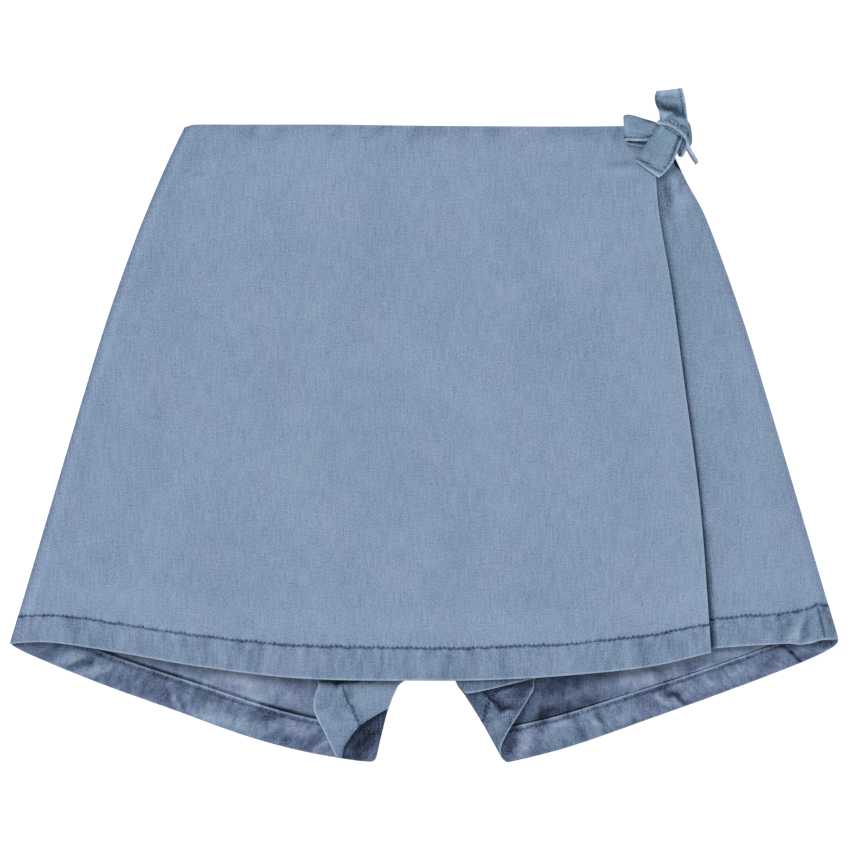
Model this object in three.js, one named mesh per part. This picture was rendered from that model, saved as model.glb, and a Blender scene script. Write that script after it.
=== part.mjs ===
// A child's wrap-front skort in light chambray, laid flat on its back on a table.
//
// Frame: millimetres, +Z up. The waist points to +Y and the hems to -Y. The origin is the middle of the
// footprint, on the surface that the skort lies on. "left" is the -X side and "right" the +X side.
//
// From the table up there are: two back legs, two front legs, an under wrap that starts in the right side
// seam, a front wrap that starts in the left side seam and closes at the right of the waist, and a tied bow.
// Each is one wall of cloth. A wall is worked out from its outline and from the height it lies at.
import * as THREE from 'three';

// ---- Cloth ------------------------------------------------------------------------------------------
const CLOTH = 1.0; // one layer
const GAP = 0.3; // between two pieces that are sewn or lie together
const STEP = CLOTH + GAP;
const HEM_EXTRA = 0.6; // a turned-up hem is this much thicker than single cloth
const HEM_DEPTH = 18.5; // stitch line of a hem, above its edge
const STITCH_ROW = 1.0; // the step from single cloth to hem takes this much of the height

// ---- Body of the skort ------------------------------------------------------------------------------
const WAIST_Y = 162;
const WAIST_INSET = 0.8; // each lower layer stops this much short of the one above, at the waist
const SIDE_HEM_Y = -117.5; // where the side seams end
const SIDE_PULL = { inset: 2, fromY: 114, toY: 134 }; // the bow pulls the right side in

// Side seam: half the width of the skort at each height.
const SIDE_SEAM = [
  { y: SIDE_HEM_Y, half: 223.3 },
  { y: -51.3, half: 204.4 },
  { y: 13.5, half: 185.0 },
  { y: 56.7, half: 172.0 },
  { y: 99.9, half: 156.3 },
  { y: 121.5, half: 147.4 },
  { y: 143.1, half: 138.2 },
  { y: WAIST_Y, half: 128.8 },
];

// Hem edges of the back legs.
const BACK_HEM_LEFT = [
  { x: -223.3, y: SIDE_HEM_Y },
  { x: -214.3, y: -123.9 },
  { x: -174.8, y: -140.1 },
  { x: -102.5, y: -166.1 },
  { x: -53.9, y: -179.0 },
  { x: -26.6, y: -182.3 },
];
const BACK_HEM_RIGHT = [
  { x: 42.6, y: -181.7 },
  { x: 82.8, y: -172.3 },
  { x: 156.2, y: -146.3 },
  { x: 213.4, y: -123.7 },
  { x: 223.3, y: SIDE_HEM_Y },
];

// Inner edge of each leg, from the hem up the inside leg and round the crotch.
const CROTCH_Y = -132.5;
const INSEAM_LEFT = [
  { y: -182.3, x: -26.6 },
  { y: -162.5, x: -22.0 },
  { y: -152.8, x: -19.3 },
  { y: -144.7, x: -16.1 },
  { y: -140.1, x: -13.4 },
  { y: -137.2, x: -8.6 },
  { y: CROTCH_Y, x: 2.6 },
];
const INSEAM_RIGHT = [
  { y: -181.7, x: 42.6 },
  { y: -162.5, x: 32.0 },
  { y: -146.3, x: 21.2 },
  { y: -140.0, x: 16.9 },
  { y: -136.0, x: 11.4 },
  { y: CROTCH_Y, x: 2.9 },
];
const SEAT_SEAM_LEAN = 40; // the centre seams swing from the middle to the crotch over this height

// Front wrap: its hem, and its free edge at the right.
const FRONT_WRAP_HEM = [
  { x: -223.3, y: SIDE_HEM_Y },
  { x: -200.0, y: -117.3 },
  { x: -164.6, y: -122.6 },
  { x: -121.4, y: -130.1 },
  { x: -67.4, y: -136.6 },
  { x: 2.8, y: -138.2 },
  { x: 73.0, y: -134.7 },
  { x: 121.6, y: -129.6 },
  { x: 154.8, y: -120.8 },
];
const FRONT_WRAP_EDGE = [
  { y: -120.8, x: 154.8 },
  { y: -81.5, x: 153.1 },
  { y: -35.1, x: 148.0 },
  { y: 21.6, x: 140.3 },
  { y: 73.4, x: 133.4 },
  { y: 120.4, x: 126.0 },
  { y: WAIST_Y, x: 124.4 },
];

// Under wrap: its hem, and its hidden edge near the middle.
const UNDER_WRAP_HEM = [
  { x: 17.3, y: -143.4 },
  { x: 24.4, y: -144.7 },
  { x: 59.5, y: -137.7 },
  { x: 94.6, y: -129.9 },
  { x: 121.6, y: -125.3 },
  { x: 155.1, y: -120.3 },
  { x: 199.4, y: -118.2 },
  { x: 223.3, y: -116.4 },
];
const UNDER_WRAP_EDGE = [
  { y: -143.4, x: 17.3 },
  { y: WAIST_Y, x: 14.0 },
];
const UNDER_WRAP_DIP = { inset: 4.5, fromY: 128, toY: 139 }; // its side edge draws in below the bow

// Front legs: horizontal sections from the waist to the hem. "outer" is the side, then the hem edge where it
// runs under the wraps and down to the inside leg. "inner" is the centre seam, then the inside leg.
const LEG_SIDE_INSET = 6; // the front legs stay this far inside the side seams
const FRONT_LEG_HEM_LEFT = [
  { y: -180.0, x: -47.6 },
  { y: -166.6, x: -54.0 },
  { y: -153.9, x: -59.9 },
  { y: -147.0, x: -59.6 },
  { y: -139.3, x: -57.6 },
  { y: -133.5, x: -62.0 },
  { y: -130.0, x: -84.0 },
  { y: -124.5, x: -121.0 },
  { y: -117.0, x: -165.0 },
  { y: -112.0, x: -216.0 },
];
const FRONT_LEG_FOLD_LEFT = [
  { y: -180.0, x: -44.6 },
  { y: -173.6, x: -43.1 },
  { y: -163.1, x: -35.5 },
  { y: -158.2, x: -28.5 },
  { y: -153.4, x: -19.9 },
];
const FRONT_LEG_HEM_RIGHT = [
  { y: -179.0, x: 41.6 },
  { y: -174.0, x: 41.4 },
  { y: -165.0, x: 45.6 },
  { y: -153.0, x: 53.0 },
  { y: -142.5, x: 59.2 },
  { y: -138.0, x: 59.6 },
  { y: -132.5, x: 66.0 },
  { y: -127.0, x: 98.0 },
  { y: -122.0, x: 126.0 },
  { y: -115.0, x: 165.0 },
  { y: -111.0, x: 216.0 },
];

// ---- How the layers lie -----------------------------------------------------------------------------
const PUFF_SIDE = 70; // air under the cloth builds up over this distance from a side seam
const PUFF_WAIST = 60; // and over this distance from the waist
const PUFF_LAYER = 0.5; // air between two layers in the middle
const HEM_LIFT_FROM = 38; // the upper layers rise over the hems below them, from here
const HEM_LIFT_TO = 24; // to here, above the hem edge
const FRONT_WRAP_ROLL = 8; // the wraps roll down to the back within this distance of the side seam
const UNDER_WRAP_ROLL = 5;
const MOUTH_LIFT = { x: 50, y: -157, radius: 9, height: 2.6 }; // right front hem stands off the back leg
const FLAP_LIFT = { x: -38, y: -160, radius: 9, height: 1.2 }; // left inside leg rolls up a little

// ---- Ties -------------------------------------------------------------------------------------------
const TIE_WIDTH = 16.6;
const UPPER_LOOP_WIDTH = 15.2; // it is seen a little from the side
const TIE_CLOTH = 1.4; // two layers of cloth, stitched
const KNOT = { x: 135.8, y: 161.4, z: 9.4, length: 16.6, width: 9.6, height: 10.2, turn: -31 };

// =====================================================================================================
// Small helpers

const lerp = (a, b, t) => a + (b - a) * t;
const smooth = (t) => THREE.MathUtils.smoothstep(t, 0, 1);
const rad = THREE.MathUtils.degToRad;

// A smooth function through the rows of a table: column "from" gives column "to".
function curve(rows, from, to) {
  const at = rows.map((row) => row[from]);
  const value = rows.map((row) => row[to]);
  const last = at.length - 1;
  const slope = at.map((_, i) => {
    const a = Math.max(i - 1, 0);
    const b = Math.min(i + 1, last);
    return (value[b] - value[a]) / (at[b] - at[a]);
  });
  return (x) => {
    const inside = THREE.MathUtils.clamp(x, at[0], at[last]);
    const i = Math.min(at.findLastIndex((a) => a <= inside), last - 1);
    const span = at[i + 1] - at[i];
    const t = (inside - at[i]) / span;
    const a = value[i] * (1 + 2 * t) * (1 - t) ** 2 + slope[i] * span * t * (1 - t) ** 2;
    const b = value[i + 1] * t * t * (3 - 2 * t) - slope[i + 1] * span * t * t * (1 - t);
    return a + b;
  };
}

// Shares from 0 to 1 in n even steps, with extra ones put in.
function shares(n, extra = []) {
  const even = Array.from({ length: n + 1 }, (_, i) => i / n);
  const far = even.filter((s) => s === 0 || s === 1 || extra.every((e) => Math.abs(e - s) > 0.35 / n));
  return [...far, ...extra].sort((a, b) => a - b);
}

// A closed geometry from a grid of rows, each a list of { low, high } points: the two faces of a wall.
function wallGeometry(grid) {
  const rows = grid.length;
  const columns = grid[0].length;
  const points = grid.flat().flatMap(({ low, high }) => [low, high]);
  const index = (r, c, side) => 2 * (r * columns + c) + side;
  const faces = [];
  const quad = (a, b, c, d) => faces.push(a, b, c, a, c, d);
  for (let r = 0; r + 1 < rows; r += 1) {
    for (let c = 0; c + 1 < columns; c += 1) {
      quad(index(r, c, 1), index(r, c + 1, 1), index(r + 1, c + 1, 1), index(r + 1, c, 1));
      quad(index(r, c, 0), index(r + 1, c, 0), index(r + 1, c + 1, 0), index(r, c + 1, 0));
    }
    const end = columns - 1;
    quad(index(r, 0, 0), index(r, 0, 1), index(r + 1, 0, 1), index(r + 1, 0, 0));
    quad(index(r, end, 1), index(r, end, 0), index(r + 1, end, 0), index(r + 1, end, 1));
  }
  for (let c = 0; c + 1 < columns; c += 1) {
    const end = rows - 1;
    quad(index(0, c, 1), index(0, c, 0), index(0, c + 1, 0), index(0, c + 1, 1));
    quad(index(end, c, 0), index(end, c, 1), index(end, c + 1, 1), index(end, c + 1, 0));
  }
  const geometry = new THREE.BufferGeometry();
  geometry.setAttribute('position', new THREE.Float32BufferAttribute(points.flatMap((p) => [p.x, p.y, p.z]), 3));
  geometry.setIndex(faces);
  geometry.computeVertexNormals();
  return geometry;
}

const chambray = new THREE.MeshStandardMaterial({ color: 0x869bb5, roughness: 0.92, metalness: 0 });
const skort = new THREE.Group();

function add(name, geometry) {
  const mesh = new THREE.Mesh(geometry, chambray.clone());
  mesh.name = name;
  skort.add(mesh);
}

// =====================================================================================================
// Outlines and heights

const halfWidth = curve(SIDE_SEAM, 'y', 'half');
const backHem = { left: curve(BACK_HEM_LEFT, 'x', 'y'), right: curve(BACK_HEM_RIGHT, 'x', 'y') };
const inseam = { left: curve(INSEAM_LEFT, 'y', 'x'), right: curve(INSEAM_RIGHT, 'y', 'x') };
const frontWrapHem = curve(FRONT_WRAP_HEM, 'x', 'y');
const frontWrapEdge = curve(FRONT_WRAP_EDGE, 'y', 'x');
const underWrapHem = curve(UNDER_WRAP_HEM, 'x', 'y');
const underWrapEdge = curve(UNDER_WRAP_EDGE, 'y', 'x');
const sign = { left: -1, right: 1 };

// The centre seam of each half, then its inside leg.
function innerEdge(side, y) {
  if (y < CROTCH_Y) return inseam[side](y);
  const lean = 1 - smooth((y - CROTCH_Y) / SEAT_SEAM_LEAN);
  return sign[side] * GAP / 2 + (inseam[side](CROTCH_Y) - sign[side] * GAP / 2) * lean;
}

const drawnIn = ({ inset, fromY, toY }, y) => inset * smooth((y - fromY) / (toY - fromY));
const sideEdge = (side, y) => sign[side] * (halfWidth(y) - (side === 'right' ? drawnIn(SIDE_PULL, y) : 0));
const sideDistance = (x, y) => (x < 0 ? x - sideEdge('left', y) : sideEdge('right', y) - x);
const backHemY = (x) => (x < 8 ? backHem.left(x) : backHem.right(x));
const frontHemY = (x) => (x < 155 ? frontWrapHem(x) : underWrapHem(x));
const puff = (x, y) => smooth(sideDistance(x, y) / PUFF_SIDE) * smooth((WAIST_Y - y) / PUFF_WAIST);
const hemLift = (x, y) => 1 - smooth((y - frontHemY(x) - HEM_LIFT_TO) / (HEM_LIFT_FROM - HEM_LIFT_TO));
const overBackHem = (x, y) => 1 - smooth((y - backHemY(x) - 22) / 10);
const bump = (place, x, y) => place.height * Math.exp(-((x - place.x) ** 2 + (y - place.y) ** 2) / place.radius ** 2);

// The underside of whatever lies straight on the back legs.
const onBack = (x, y) => STEP + HEM_EXTRA * overBackHem(x, y);

// The underside of the wraps: full height inside, down on the back legs at their own side seam.
function wrapUnderside(layer, roll, side, x, y) {
  const full = layer * STEP + layer * PUFF_LAYER * puff(x, y) + layer * HEM_EXTRA * hemLift(x, y);
  const base = onBack(x, y);
  const fromSeam = Math.abs(sideEdge(side, y) - x);
  return base + (full - base) * smooth(fromSeam / roll);
}

// =====================================================================================================
// Panels that run down to a shaped hem: rows keep their share of the height from waist to hem.

function hemmedPanel({ outer, inner, hemY, top, underside, columns, rows }) {
  const hemShare = 1 - HEM_DEPTH / (top - SIDE_HEM_Y + 30);
  const allRows = shares(rows, [hemShare - STITCH_ROW / 300, hemShare, 1 - 1.5 / 300]);
  const place = (u, v) => {
    let x = lerp(outer(SIDE_HEM_Y), inner(SIDE_HEM_Y), u);
    for (let i = 0; i < 40; i += 1) x = lerp(outer(hemY(x)), inner(hemY(x)), u);
    const y = lerp(top, hemY(x), v);
    return { x: lerp(outer(y), inner(y), u), y };
  };
  const swap = outer(0) > inner(0);
  return wallGeometry(allRows.map((v) => columns.map((u) => {
    const { x, y } = place(swap ? 1 - u : u, 1 - v);
    const low = underside(x, y);
    const band = 1 - v >= hemShare ? 1 : 0;
    return { low: { x, y, z: low }, high: { x, y, z: low + CLOTH + HEM_EXTRA * band } };
  })));
}

for (const side of ['left', 'right']) {
  add(`back_leg_${side}`, hemmedPanel({
    outer: (y) => sideEdge(side, y),
    inner: (y) => innerEdge(side, y),
    hemY: backHem[side],
    top: WAIST_Y - WAIST_INSET,
    underside: () => 0,
    columns: shares(11, [0.02, 0.98]),
    rows: 30,
  }));
}

add('under_wrap', hemmedPanel({
  outer: (y) => sideEdge('right', y) - drawnIn(UNDER_WRAP_DIP, y),
  inner: underWrapEdge,
  hemY: underWrapHem,
  top: WAIST_Y - WAIST_INSET,
  underside: (x, y) => wrapUnderside(2, UNDER_WRAP_ROLL, 'right', x, y),
  columns: shares(12, [0.02, 0.96, 0.972, 0.98, 0.986, 0.993]),
  rows: 20,
}));

add('front_wrap', hemmedPanel({
  outer: (y) => sideEdge('left', y),
  inner: frontWrapEdge,
  hemY: frontWrapHem,
  top: WAIST_Y,
  underside: (x, y) => wrapUnderside(3, FRONT_WRAP_ROLL, 'left', x, y),
  columns: shares(20, [0.004, 0.008, 0.012, 0.016, 0.021, 0.03, 0.995]),
  rows: 22,
}));

// =====================================================================================================
// Front legs: straight sections from the waist down, so that the hem can turn down to the inside leg.

const legHem = { left: curve(FRONT_LEG_HEM_LEFT, 'y', 'x'), right: curve(FRONT_LEG_HEM_RIGHT, 'y', 'x') };
const legFoldLeft = curve(FRONT_LEG_FOLD_LEFT, 'y', 'x');
const legHemTop = { left: FRONT_LEG_HEM_LEFT.at(-1).y, right: FRONT_LEG_HEM_RIGHT.at(-1).y };
const legBottom = { left: FRONT_LEG_HEM_LEFT[0].y, right: FRONT_LEG_HEM_RIGHT[0].y };

function frontLeg(side) {
  const outer = (y) => (y < legHemTop[side] ? legHem[side](y) : sideEdge(side, y) - sign[side] * LEG_SIDE_INSET);
  const foldTop = FRONT_LEG_FOLD_LEFT.at(-1).y;
  const inner = (y) => (side === 'left' && y < foldTop ? legFoldLeft(y) : innerEdge(side, y));
  const lift = side === 'left' ? FLAP_LIFT : MOUTH_LIFT;
  const top = WAIST_Y - 2 * WAIST_INSET;
  const body = shares(14).map((t) => lerp(top, legHemTop[side], t));
  const lower = shares(26).slice(1).map((t) => lerp(legHemTop[side], legBottom[side], t));
  const columns = shares(9, [0.03, 0.97]);
  return wallGeometry([...body, ...lower].reverse().map((y) => columns.map((u) => {
    const [from, to] = side === 'left' ? [outer(y), inner(y)] : [inner(y), outer(y)];
    const x = lerp(from, to, u);
    const low = onBack(x, y) + PUFF_LAYER * puff(x, y) + bump(lift, x, y);
    return { low: { x, y, z: low }, high: { x, y, z: low + CLOTH } };
  })));
}

add('front_leg_left', frontLeg('left'));
add('front_leg_right', frontLeg('right'));

// =====================================================================================================
// The bow. A ribbon is a flat tie along a smooth path; "across" is the direction of its width.

function ribbonGeometry(points, across, steps, width) {
  const path = new THREE.CatmullRomCurve3(points.map((p) => new THREE.Vector3(p.x, p.y, p.z)), false, 'centripetal');
  const sections = [];
  for (let i = 0; i <= steps; i += 1) {
    const t = i / steps;
    const centre = path.getPointAt(t);
    const side = across(t).clone().normalize();
    const normal = new THREE.Vector3().crossVectors(path.getTangentAt(t), side).normalize();
    const half = width(t) / 2;
    const corner = (s, n) => centre.clone().addScaledVector(side, s * half).addScaledVector(normal, n * TIE_CLOTH / 2);
    sections.push([-1, -0.5, 0, 0.5, 1].map((s) => ({ low: corner(s, -1), high: corner(s, 1) })));
  }
  return wallGeometry(sections.reverse());
}

const fullWidth = () => TIE_WIDTH;
const pinched = (share) => (t) => TIE_WIDTH * (1 - share * (smooth((t - 0.72) / 0.2) + smooth((0.2 - t) / 0.2)));

// Left loop: out to the left, round and back over, with its lower edge standing open.
add('tie_loop_left', ribbonGeometry(
  [
    { x: 126.5, y: 158.5, z: 6.1 },
    { x: 121.5, y: 158.9, z: 6.1 },
    { x: 113.7, y: 159.5, z: 6.1 },
    { x: 109.5, y: 160.0, z: 6.8 },
    { x: 108.0, y: 160.4, z: 8.6 },
    { x: 109.5, y: 160.3, z: 10.7 },
    { x: 113.2, y: 160.1, z: 11.2 },
    { x: 117.3, y: 159.4, z: 9.7 },
    { x: 121.5, y: 158.9, z: 8.2 },
    { x: 126.5, y: 158.7, z: 7.8 },
  ],
  (t) => {
    const tip = rad(-25) * smooth((t - 0.44) / 0.12) * smooth((0.84 - t) / 0.2);
    return new THREE.Vector3(0, Math.cos(tip), Math.sin(tip));
  },
  32,
  pinched(0.3),
));

// Upper loop: out past the waist, up and over, and down steeply to the knot.
add('tie_loop_upper', ribbonGeometry(
  [
    { x: 134.3, y: 169.4, z: 5.8 },
    { x: 133.4, y: 173.9, z: 4.0 },
    { x: 132.2, y: 178.2, z: 3.6 },
    { x: 131.8, y: 180.5, z: 5.4 },
    { x: 131.8, y: 180.4, z: 8.6 },
    { x: 132.3, y: 177.6, z: 11.2 },
    { x: 132.9, y: 174.7, z: 11.4 },
    { x: 133.9, y: 171.6, z: 9.9 },
    { x: 134.3, y: 170.0, z: 8.4 },
  ],
  () => new THREE.Vector3(-1, -0.1, 0),
  30,
  () => UPPER_LOOP_WIDTH,
));

// Front tail: from under the knot, down to the left over the corner of the front wrap.
const TAIL_DIRECTION = new THREE.Vector2(-0.577, -0.817);
const tailPoint = (along, z) => ({ x: 133.5 + TAIL_DIRECTION.x * along, y: 156.2 + TAIL_DIRECTION.y * along, z });
add('tie_tail_front', ribbonGeometry(
  [tailPoint(0, 9.9), tailPoint(12, 10.1), tailPoint(16.6, 8.4), tailPoint(20.2, 6.6), tailPoint(23.4, 6.2)],
  () => new THREE.Vector3(-TAIL_DIRECTION.y, TAIL_DIRECTION.x, 0),
  12,
  fullWidth,
));

// Back tail: stands on its edge beside the side seam.
add('tie_tail_back', ribbonGeometry(
  [
    { x: 142.7, y: 154.7, z: 8.8 },
    { x: 142.6, y: 150.4, z: 8.6 },
    { x: 143.3, y: 146.6, z: 8.5 },
    { x: 145.2, y: 143.2, z: 8.4 },
    { x: 146.5, y: 141.2, z: 8.4 },
  ],
  () => new THREE.Vector3(0.16, 0.1, 1),
  10,
  (t) => TIE_WIDTH * lerp(0.78, 0.86, t),
));

// Knot: a short, full turn of tie across the bow, higher in the middle.
function knotGeometry() {
  const sections = shares(12).map((t) => {
    const along = lerp(-0.5, 0.5, t);
    const full = Math.sqrt(Math.max(0, 1 - (2 * along) ** 4));
    return shares(10).map((s) => {
      const across = lerp(-0.5, 0.5, s);
      const dome = Math.sqrt(Math.max(0, 1 - (2 * across) ** 4));
      const point = (half) => new THREE.Vector3(
        along * KNOT.length,
        across * KNOT.width * lerp(0.72, 1, full),
        half * (0.6 + (KNOT.height / 2 - 0.6) * dome * lerp(0.35, 1, full)),
      ).applyAxisAngle(new THREE.Vector3(0, 0, 1), rad(KNOT.turn)).add(new THREE.Vector3(KNOT.x, KNOT.y, KNOT.z));
      return { low: point(-1), high: point(1) };
    });
  });
  return wallGeometry(sections.reverse());
}
add('tie_knot', knotGeometry());

export default skort;
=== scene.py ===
# %% [markdown]
# # A child's wrap-front skort, laid flat
#
# The skort is a pair of shorts with two skirt panels over the front. It lies on its back, so from the table up
# there are two back legs, two front legs, an under wrap, a front wrap and a tied bow. Everything is cut from one
# light, washed chambray. This lesson dresses the plain solids of the packed model with cloth that has hems,
# stitches, worn edges and a weave.
#
# The packed model is the frame: it says where each piece is. It is loaded first and is never moved. Both kinds of
# chance are seeded, so that every run gives the same cloth: `random` for the stitches, and `noise`, whose
# `noise_vector` would otherwise start from the clock, for the creases.

# %% Load the frame
import math
import random

import bmesh
import bpy
from mathutils import Matrix, Vector, noise


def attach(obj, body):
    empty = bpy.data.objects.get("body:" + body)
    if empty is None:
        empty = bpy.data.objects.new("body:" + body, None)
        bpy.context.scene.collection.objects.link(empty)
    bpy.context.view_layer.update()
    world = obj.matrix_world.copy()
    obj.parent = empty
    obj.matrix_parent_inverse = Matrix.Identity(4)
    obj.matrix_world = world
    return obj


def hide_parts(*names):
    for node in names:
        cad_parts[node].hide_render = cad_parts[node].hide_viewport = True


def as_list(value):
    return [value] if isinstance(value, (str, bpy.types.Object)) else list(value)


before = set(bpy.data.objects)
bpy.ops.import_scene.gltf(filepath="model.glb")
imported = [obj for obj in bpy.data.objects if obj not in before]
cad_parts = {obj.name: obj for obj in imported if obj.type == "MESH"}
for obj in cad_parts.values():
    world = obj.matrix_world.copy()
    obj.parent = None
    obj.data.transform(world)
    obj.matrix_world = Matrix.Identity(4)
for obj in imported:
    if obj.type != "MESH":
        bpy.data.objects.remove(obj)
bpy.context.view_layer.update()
MM = 0.001
CREASE_SEED = 309
random.seed(7)
noise.seed_set(CREASE_SEED)
print("nodes:", sorted(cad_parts))

# %% [markdown]
# ## Smooth curves through a few measured places
#
# A pattern cutter draws an edge by marking a few places and joining them with a French curve. The same is done
# here. First come three small blends: a straight one, an S that starts and stops gently, and a hump.


# %% Blends
def lerp(a, b, share):
    return a + (b - a) * share


def smooth(share):
    """0 below 0, 1 above 1, and an S between them."""
    share = min(max(share, 0.0), 1.0)
    return share * share * (3 - 2 * share)


def hump(distance, width):
    """1 at no distance, and close to 0 beyond twice the width."""
    return math.exp(-((distance / width) ** 2))


print("the S is at", smooth(0.25), "after a quarter of the way")

# %% [markdown]
# A table holds the places of an edge, and `french_curve` turns it into a smooth function of its first column. A
# curve object could be drawn too, but a function answers at any place. All tables are in millimetres.


# %% Curves
def curve(rows, start, end):
    """A smooth function from one column of a table to another. Rows go up in the first of them."""
    at = [row[start] for row in rows]
    value = [row[end] for row in rows]
    last = len(rows) - 1
    slope = []
    for i in range(len(rows)):
        a, b = max(i - 1, 0), min(i + 1, last)
        slope.append((value[b] - value[a]) / (at[b] - at[a]))

    def follow(x):
        x = min(max(x, at[0]), at[last])
        i = 0
        while i < last - 1 and at[i + 1] <= x:
            i += 1
        span = at[i + 1] - at[i]
        t = (x - at[i]) / span
        start_part = value[i] * (1 + 2 * t) * (1 - t) ** 2 + slope[i] * span * t * (1 - t) ** 2
        end_part = value[i + 1] * t * t * (3 - 2 * t) - slope[i + 1] * span * t * t * (1 - t)
        return start_part + end_part

    return follow


def table(columns, *rows):
    """Rows of numbers as dictionaries, with the columns named once."""
    return [dict(zip(columns.split(), row)) for row in rows]


def french_curve(columns, *rows):
    """A smooth function from the first of two columns to the second."""
    start, end = columns.split()
    return curve(table(columns, *rows), start, end)


print("a curve through 0, 1 and 4 is at", french_curve("x y", (0, 0), (1, 1), (2, 4))(1.5), "between the last two")

# %% [markdown]
# ## The outline of each panel
#
# These are the edges that the solids were cut from, eased by up to a millimetre and a half where the cloth lies
# looser, so each piece still covers its own solid. The waist and the two side seams come first. They belong to
# the wraps and to the back legs alike, because those are sewn together there.

# %% Waist and side seams
WAIST_Y = 162.0
SIDE_HEM_Y = -117.5
CROTCH_Y = -132.5
HEM_DEPTH = 17.6
SIGN = {"left": -1, "right": 1}
UP = Vector((0, 0, 1))

waist = french_curve(
    "x y",
    (-130, 162.3), (-98, 162.2), (-47, 161.7), (5, 161.4), (57, 161.2), (96, 161.2), (130, 161.5),
)
SEAMS = table(
    "y left right",
    (SIDE_HEM_Y, 224.0, 224.3),
    (-51.3, 204.4, 204.9),
    (13.5, 185.2, 185.6),
    (56.7, 171.9, 172.3),
    (99.9, 156.6, 157.0),
    (121.5, 147.9, 148.1),
    (143.1, 138.5, 138.4),
    (WAIST_Y, 129.4, 128.8),
)
side_seam = {side: curve(SEAMS, "y", side) for side in SIGN}
for place, y in {"waist": WAIST_Y, "hem": SIDE_HEM_Y}.items():
    print(place, "is", round(side_seam["left"](y) + side_seam["right"](y)), "mm wide")

# %% [markdown]
# The legs of the shorts end in a long, slanted hem, turned up on the inside by 14 to 18 mm, and then run up the
# inside leg to the crotch. All three are curves, and the two sides differ a little, as they do on real cloth.

# %% Legs of the shorts
back_hem = {
    "left": french_curve(
        "x y",
        (-224.0, -118.9), (-213.4, -124.3), (-174.5, -140.2), (-135.5, -154.2), (-96.6, -168.2),
        (-67.3, -176.2), (-38.2, -181.4), (-26.6, -182.4),
    ),
    "right": french_curve(
        "x y",
        (42.7, -182.9), (49.5, -181.6), (69.0, -176.8), (88.5, -170.8), (117.7, -160.4), (156.6, -146.5),
        (195.6, -131.8), (215.1, -123.5), (224.3, -118.0),
    ),
}
inside_leg = {
    "left": french_curve(
        "y x",
        (-182.3, -26.6), (-162.5, -22.0), (-152.8, -19.3), (-144.7, -16.1), (-140.1, -13.4), (-137.2, -8.6),
        (CROTCH_Y, 2.6),
    ),
    "right": french_curve(
        "y x",
        (-181.7, 42.6), (-162.5, 32.0), (-146.3, 21.9), (-141.0, 17.9), (-138.3, 16.6), (-136.0, 13.2),
        (CROTCH_Y, 2.9),
    ),
}
turn_up = {
    "left": french_curve("x depth", (-215, 15.2), (-180, 15.6), (-143, 16.2), (-100, 17.6), (-30, 17.6)),
    "right": french_curve("x depth", (42, 18.0), (92, 16.5), (133, 14.9), (176, 14.0), (215, 13.6)),
}
print("hems of the legs:", [round(turn_up[side](SIGN[side] * 100), 1) for side in SIGN], "mm deep at 100 mm")

# %% [markdown]
# The wraps are cut to the same side seams. The front wrap closes with a free edge on the right, and the under
# wrap has one that stays hidden. The depth tables say how far each stitch line lies from the hem's fold.

# %% Wraps' edges
front_wrap_hem = french_curve(
    "x y",
    (-224.0, -118.4), (-216.0, -117.3), (-200.0, -117.3), (-164.6, -122.6), (-121.4, -130.1),
    (-67.4, -136.4), (2.8, -137.8), (35.0, -137.3), (73.0, -135.2), (121.6, -130.1), (154.8, -122.5),
)
front_wrap_edge = french_curve(
    "y x",
    (-120.8, 154.3), (-100.0, 152.9), (-81.5, 151.8), (-60.0, 150.2), (-35.1, 147.8), (21.6, 140.3),
    (73.4, 133.4), (120.4, 126.0), (WAIST_Y, 124.4),
)
under_wrap_hem = french_curve(
    "x y",
    (17.3, -143.4), (24.4, -144.7), (59.5, -136.7), (94.6, -129.9), (121.6, -125.3), (155.1, -120.6),
    (196.6, -117.9), (202.0, -118.6), (208.8, -117.7), (214.5, -116.1), (224.3, -115.8),
)
front_wrap_depth = french_curve(
    "x depth",
    (-220, 14.0), (-186, 15.0), (-150, 15.4), (-120, 16.5), (-90, 17.1), (-50, 17.8), (0, 17.5), (55, 17.4),
    (80, 16.6), (94, 17.0), (128, 16.5), (154, 15.3),
)
under_wrap_depth = french_curve(
    "x depth",
    (155, 15.9), (176, 16.1), (188, 16.0), (197, 16.9), (202, 18.2), (211, 18.8), (218, 18.7),
)
under_wrap_edge = french_curve("y x", (-143.4, 17.3), (WAIST_Y, 14.0))
print("the free edge of the front wrap leans by", round(front_wrap_edge(-110) - front_wrap_edge(150), 1), "mm")

# %% [markdown]
# The front legs show only their inside-leg corners. Their hem is given by height, because it runs down there more
# than it runs across. The left corner is rolled over along `front_leg_fold`, below `FOLD_TOP`.

# %% Corners of the front legs
FOLD_TOP = -153.4
front_leg_hem = {
    "left": french_curve(
        "y x",
        (-180.0, -47.6), (-166.6, -54.0), (-153.9, -59.9), (-147.0, -59.6), (-139.3, -57.6),
        (-133.5, -62.0), (-130.0, -84.0), (-124.5, -121.0), (-117.0, -165.0), (-112.0, -216.0),
    ),
    "right": french_curve(
        "y x",
        (-179.0, 41.6), (-174.0, 41.4), (-165.0, 45.6), (-153.0, 53.0), (-142.5, 59.2), (-138.0, 59.6),
        (-132.5, 66.0), (-127.0, 98.0), (-122.0, 126.0), (-115.0, 165.0), (-111.0, 216.0),
    ),
}
front_leg_fold = french_curve(
    "y x",
    (-180.0, -44.6), (-173.6, -43.1), (-163.1, -35.5), (-158.2, -28.5), (FOLD_TOP, -19.9),
)
print("the left corner is folded over", round(abs(front_leg_fold(-175) - inside_leg["left"](-175)), 1), "mm wide")

# %% [markdown]
# Three helpers turn the tables into edges that the pieces share. The bow pulls the right side seam in a little,
# and the inner edge of a leg is its centre seam above the crotch and its inside leg below it.


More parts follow.
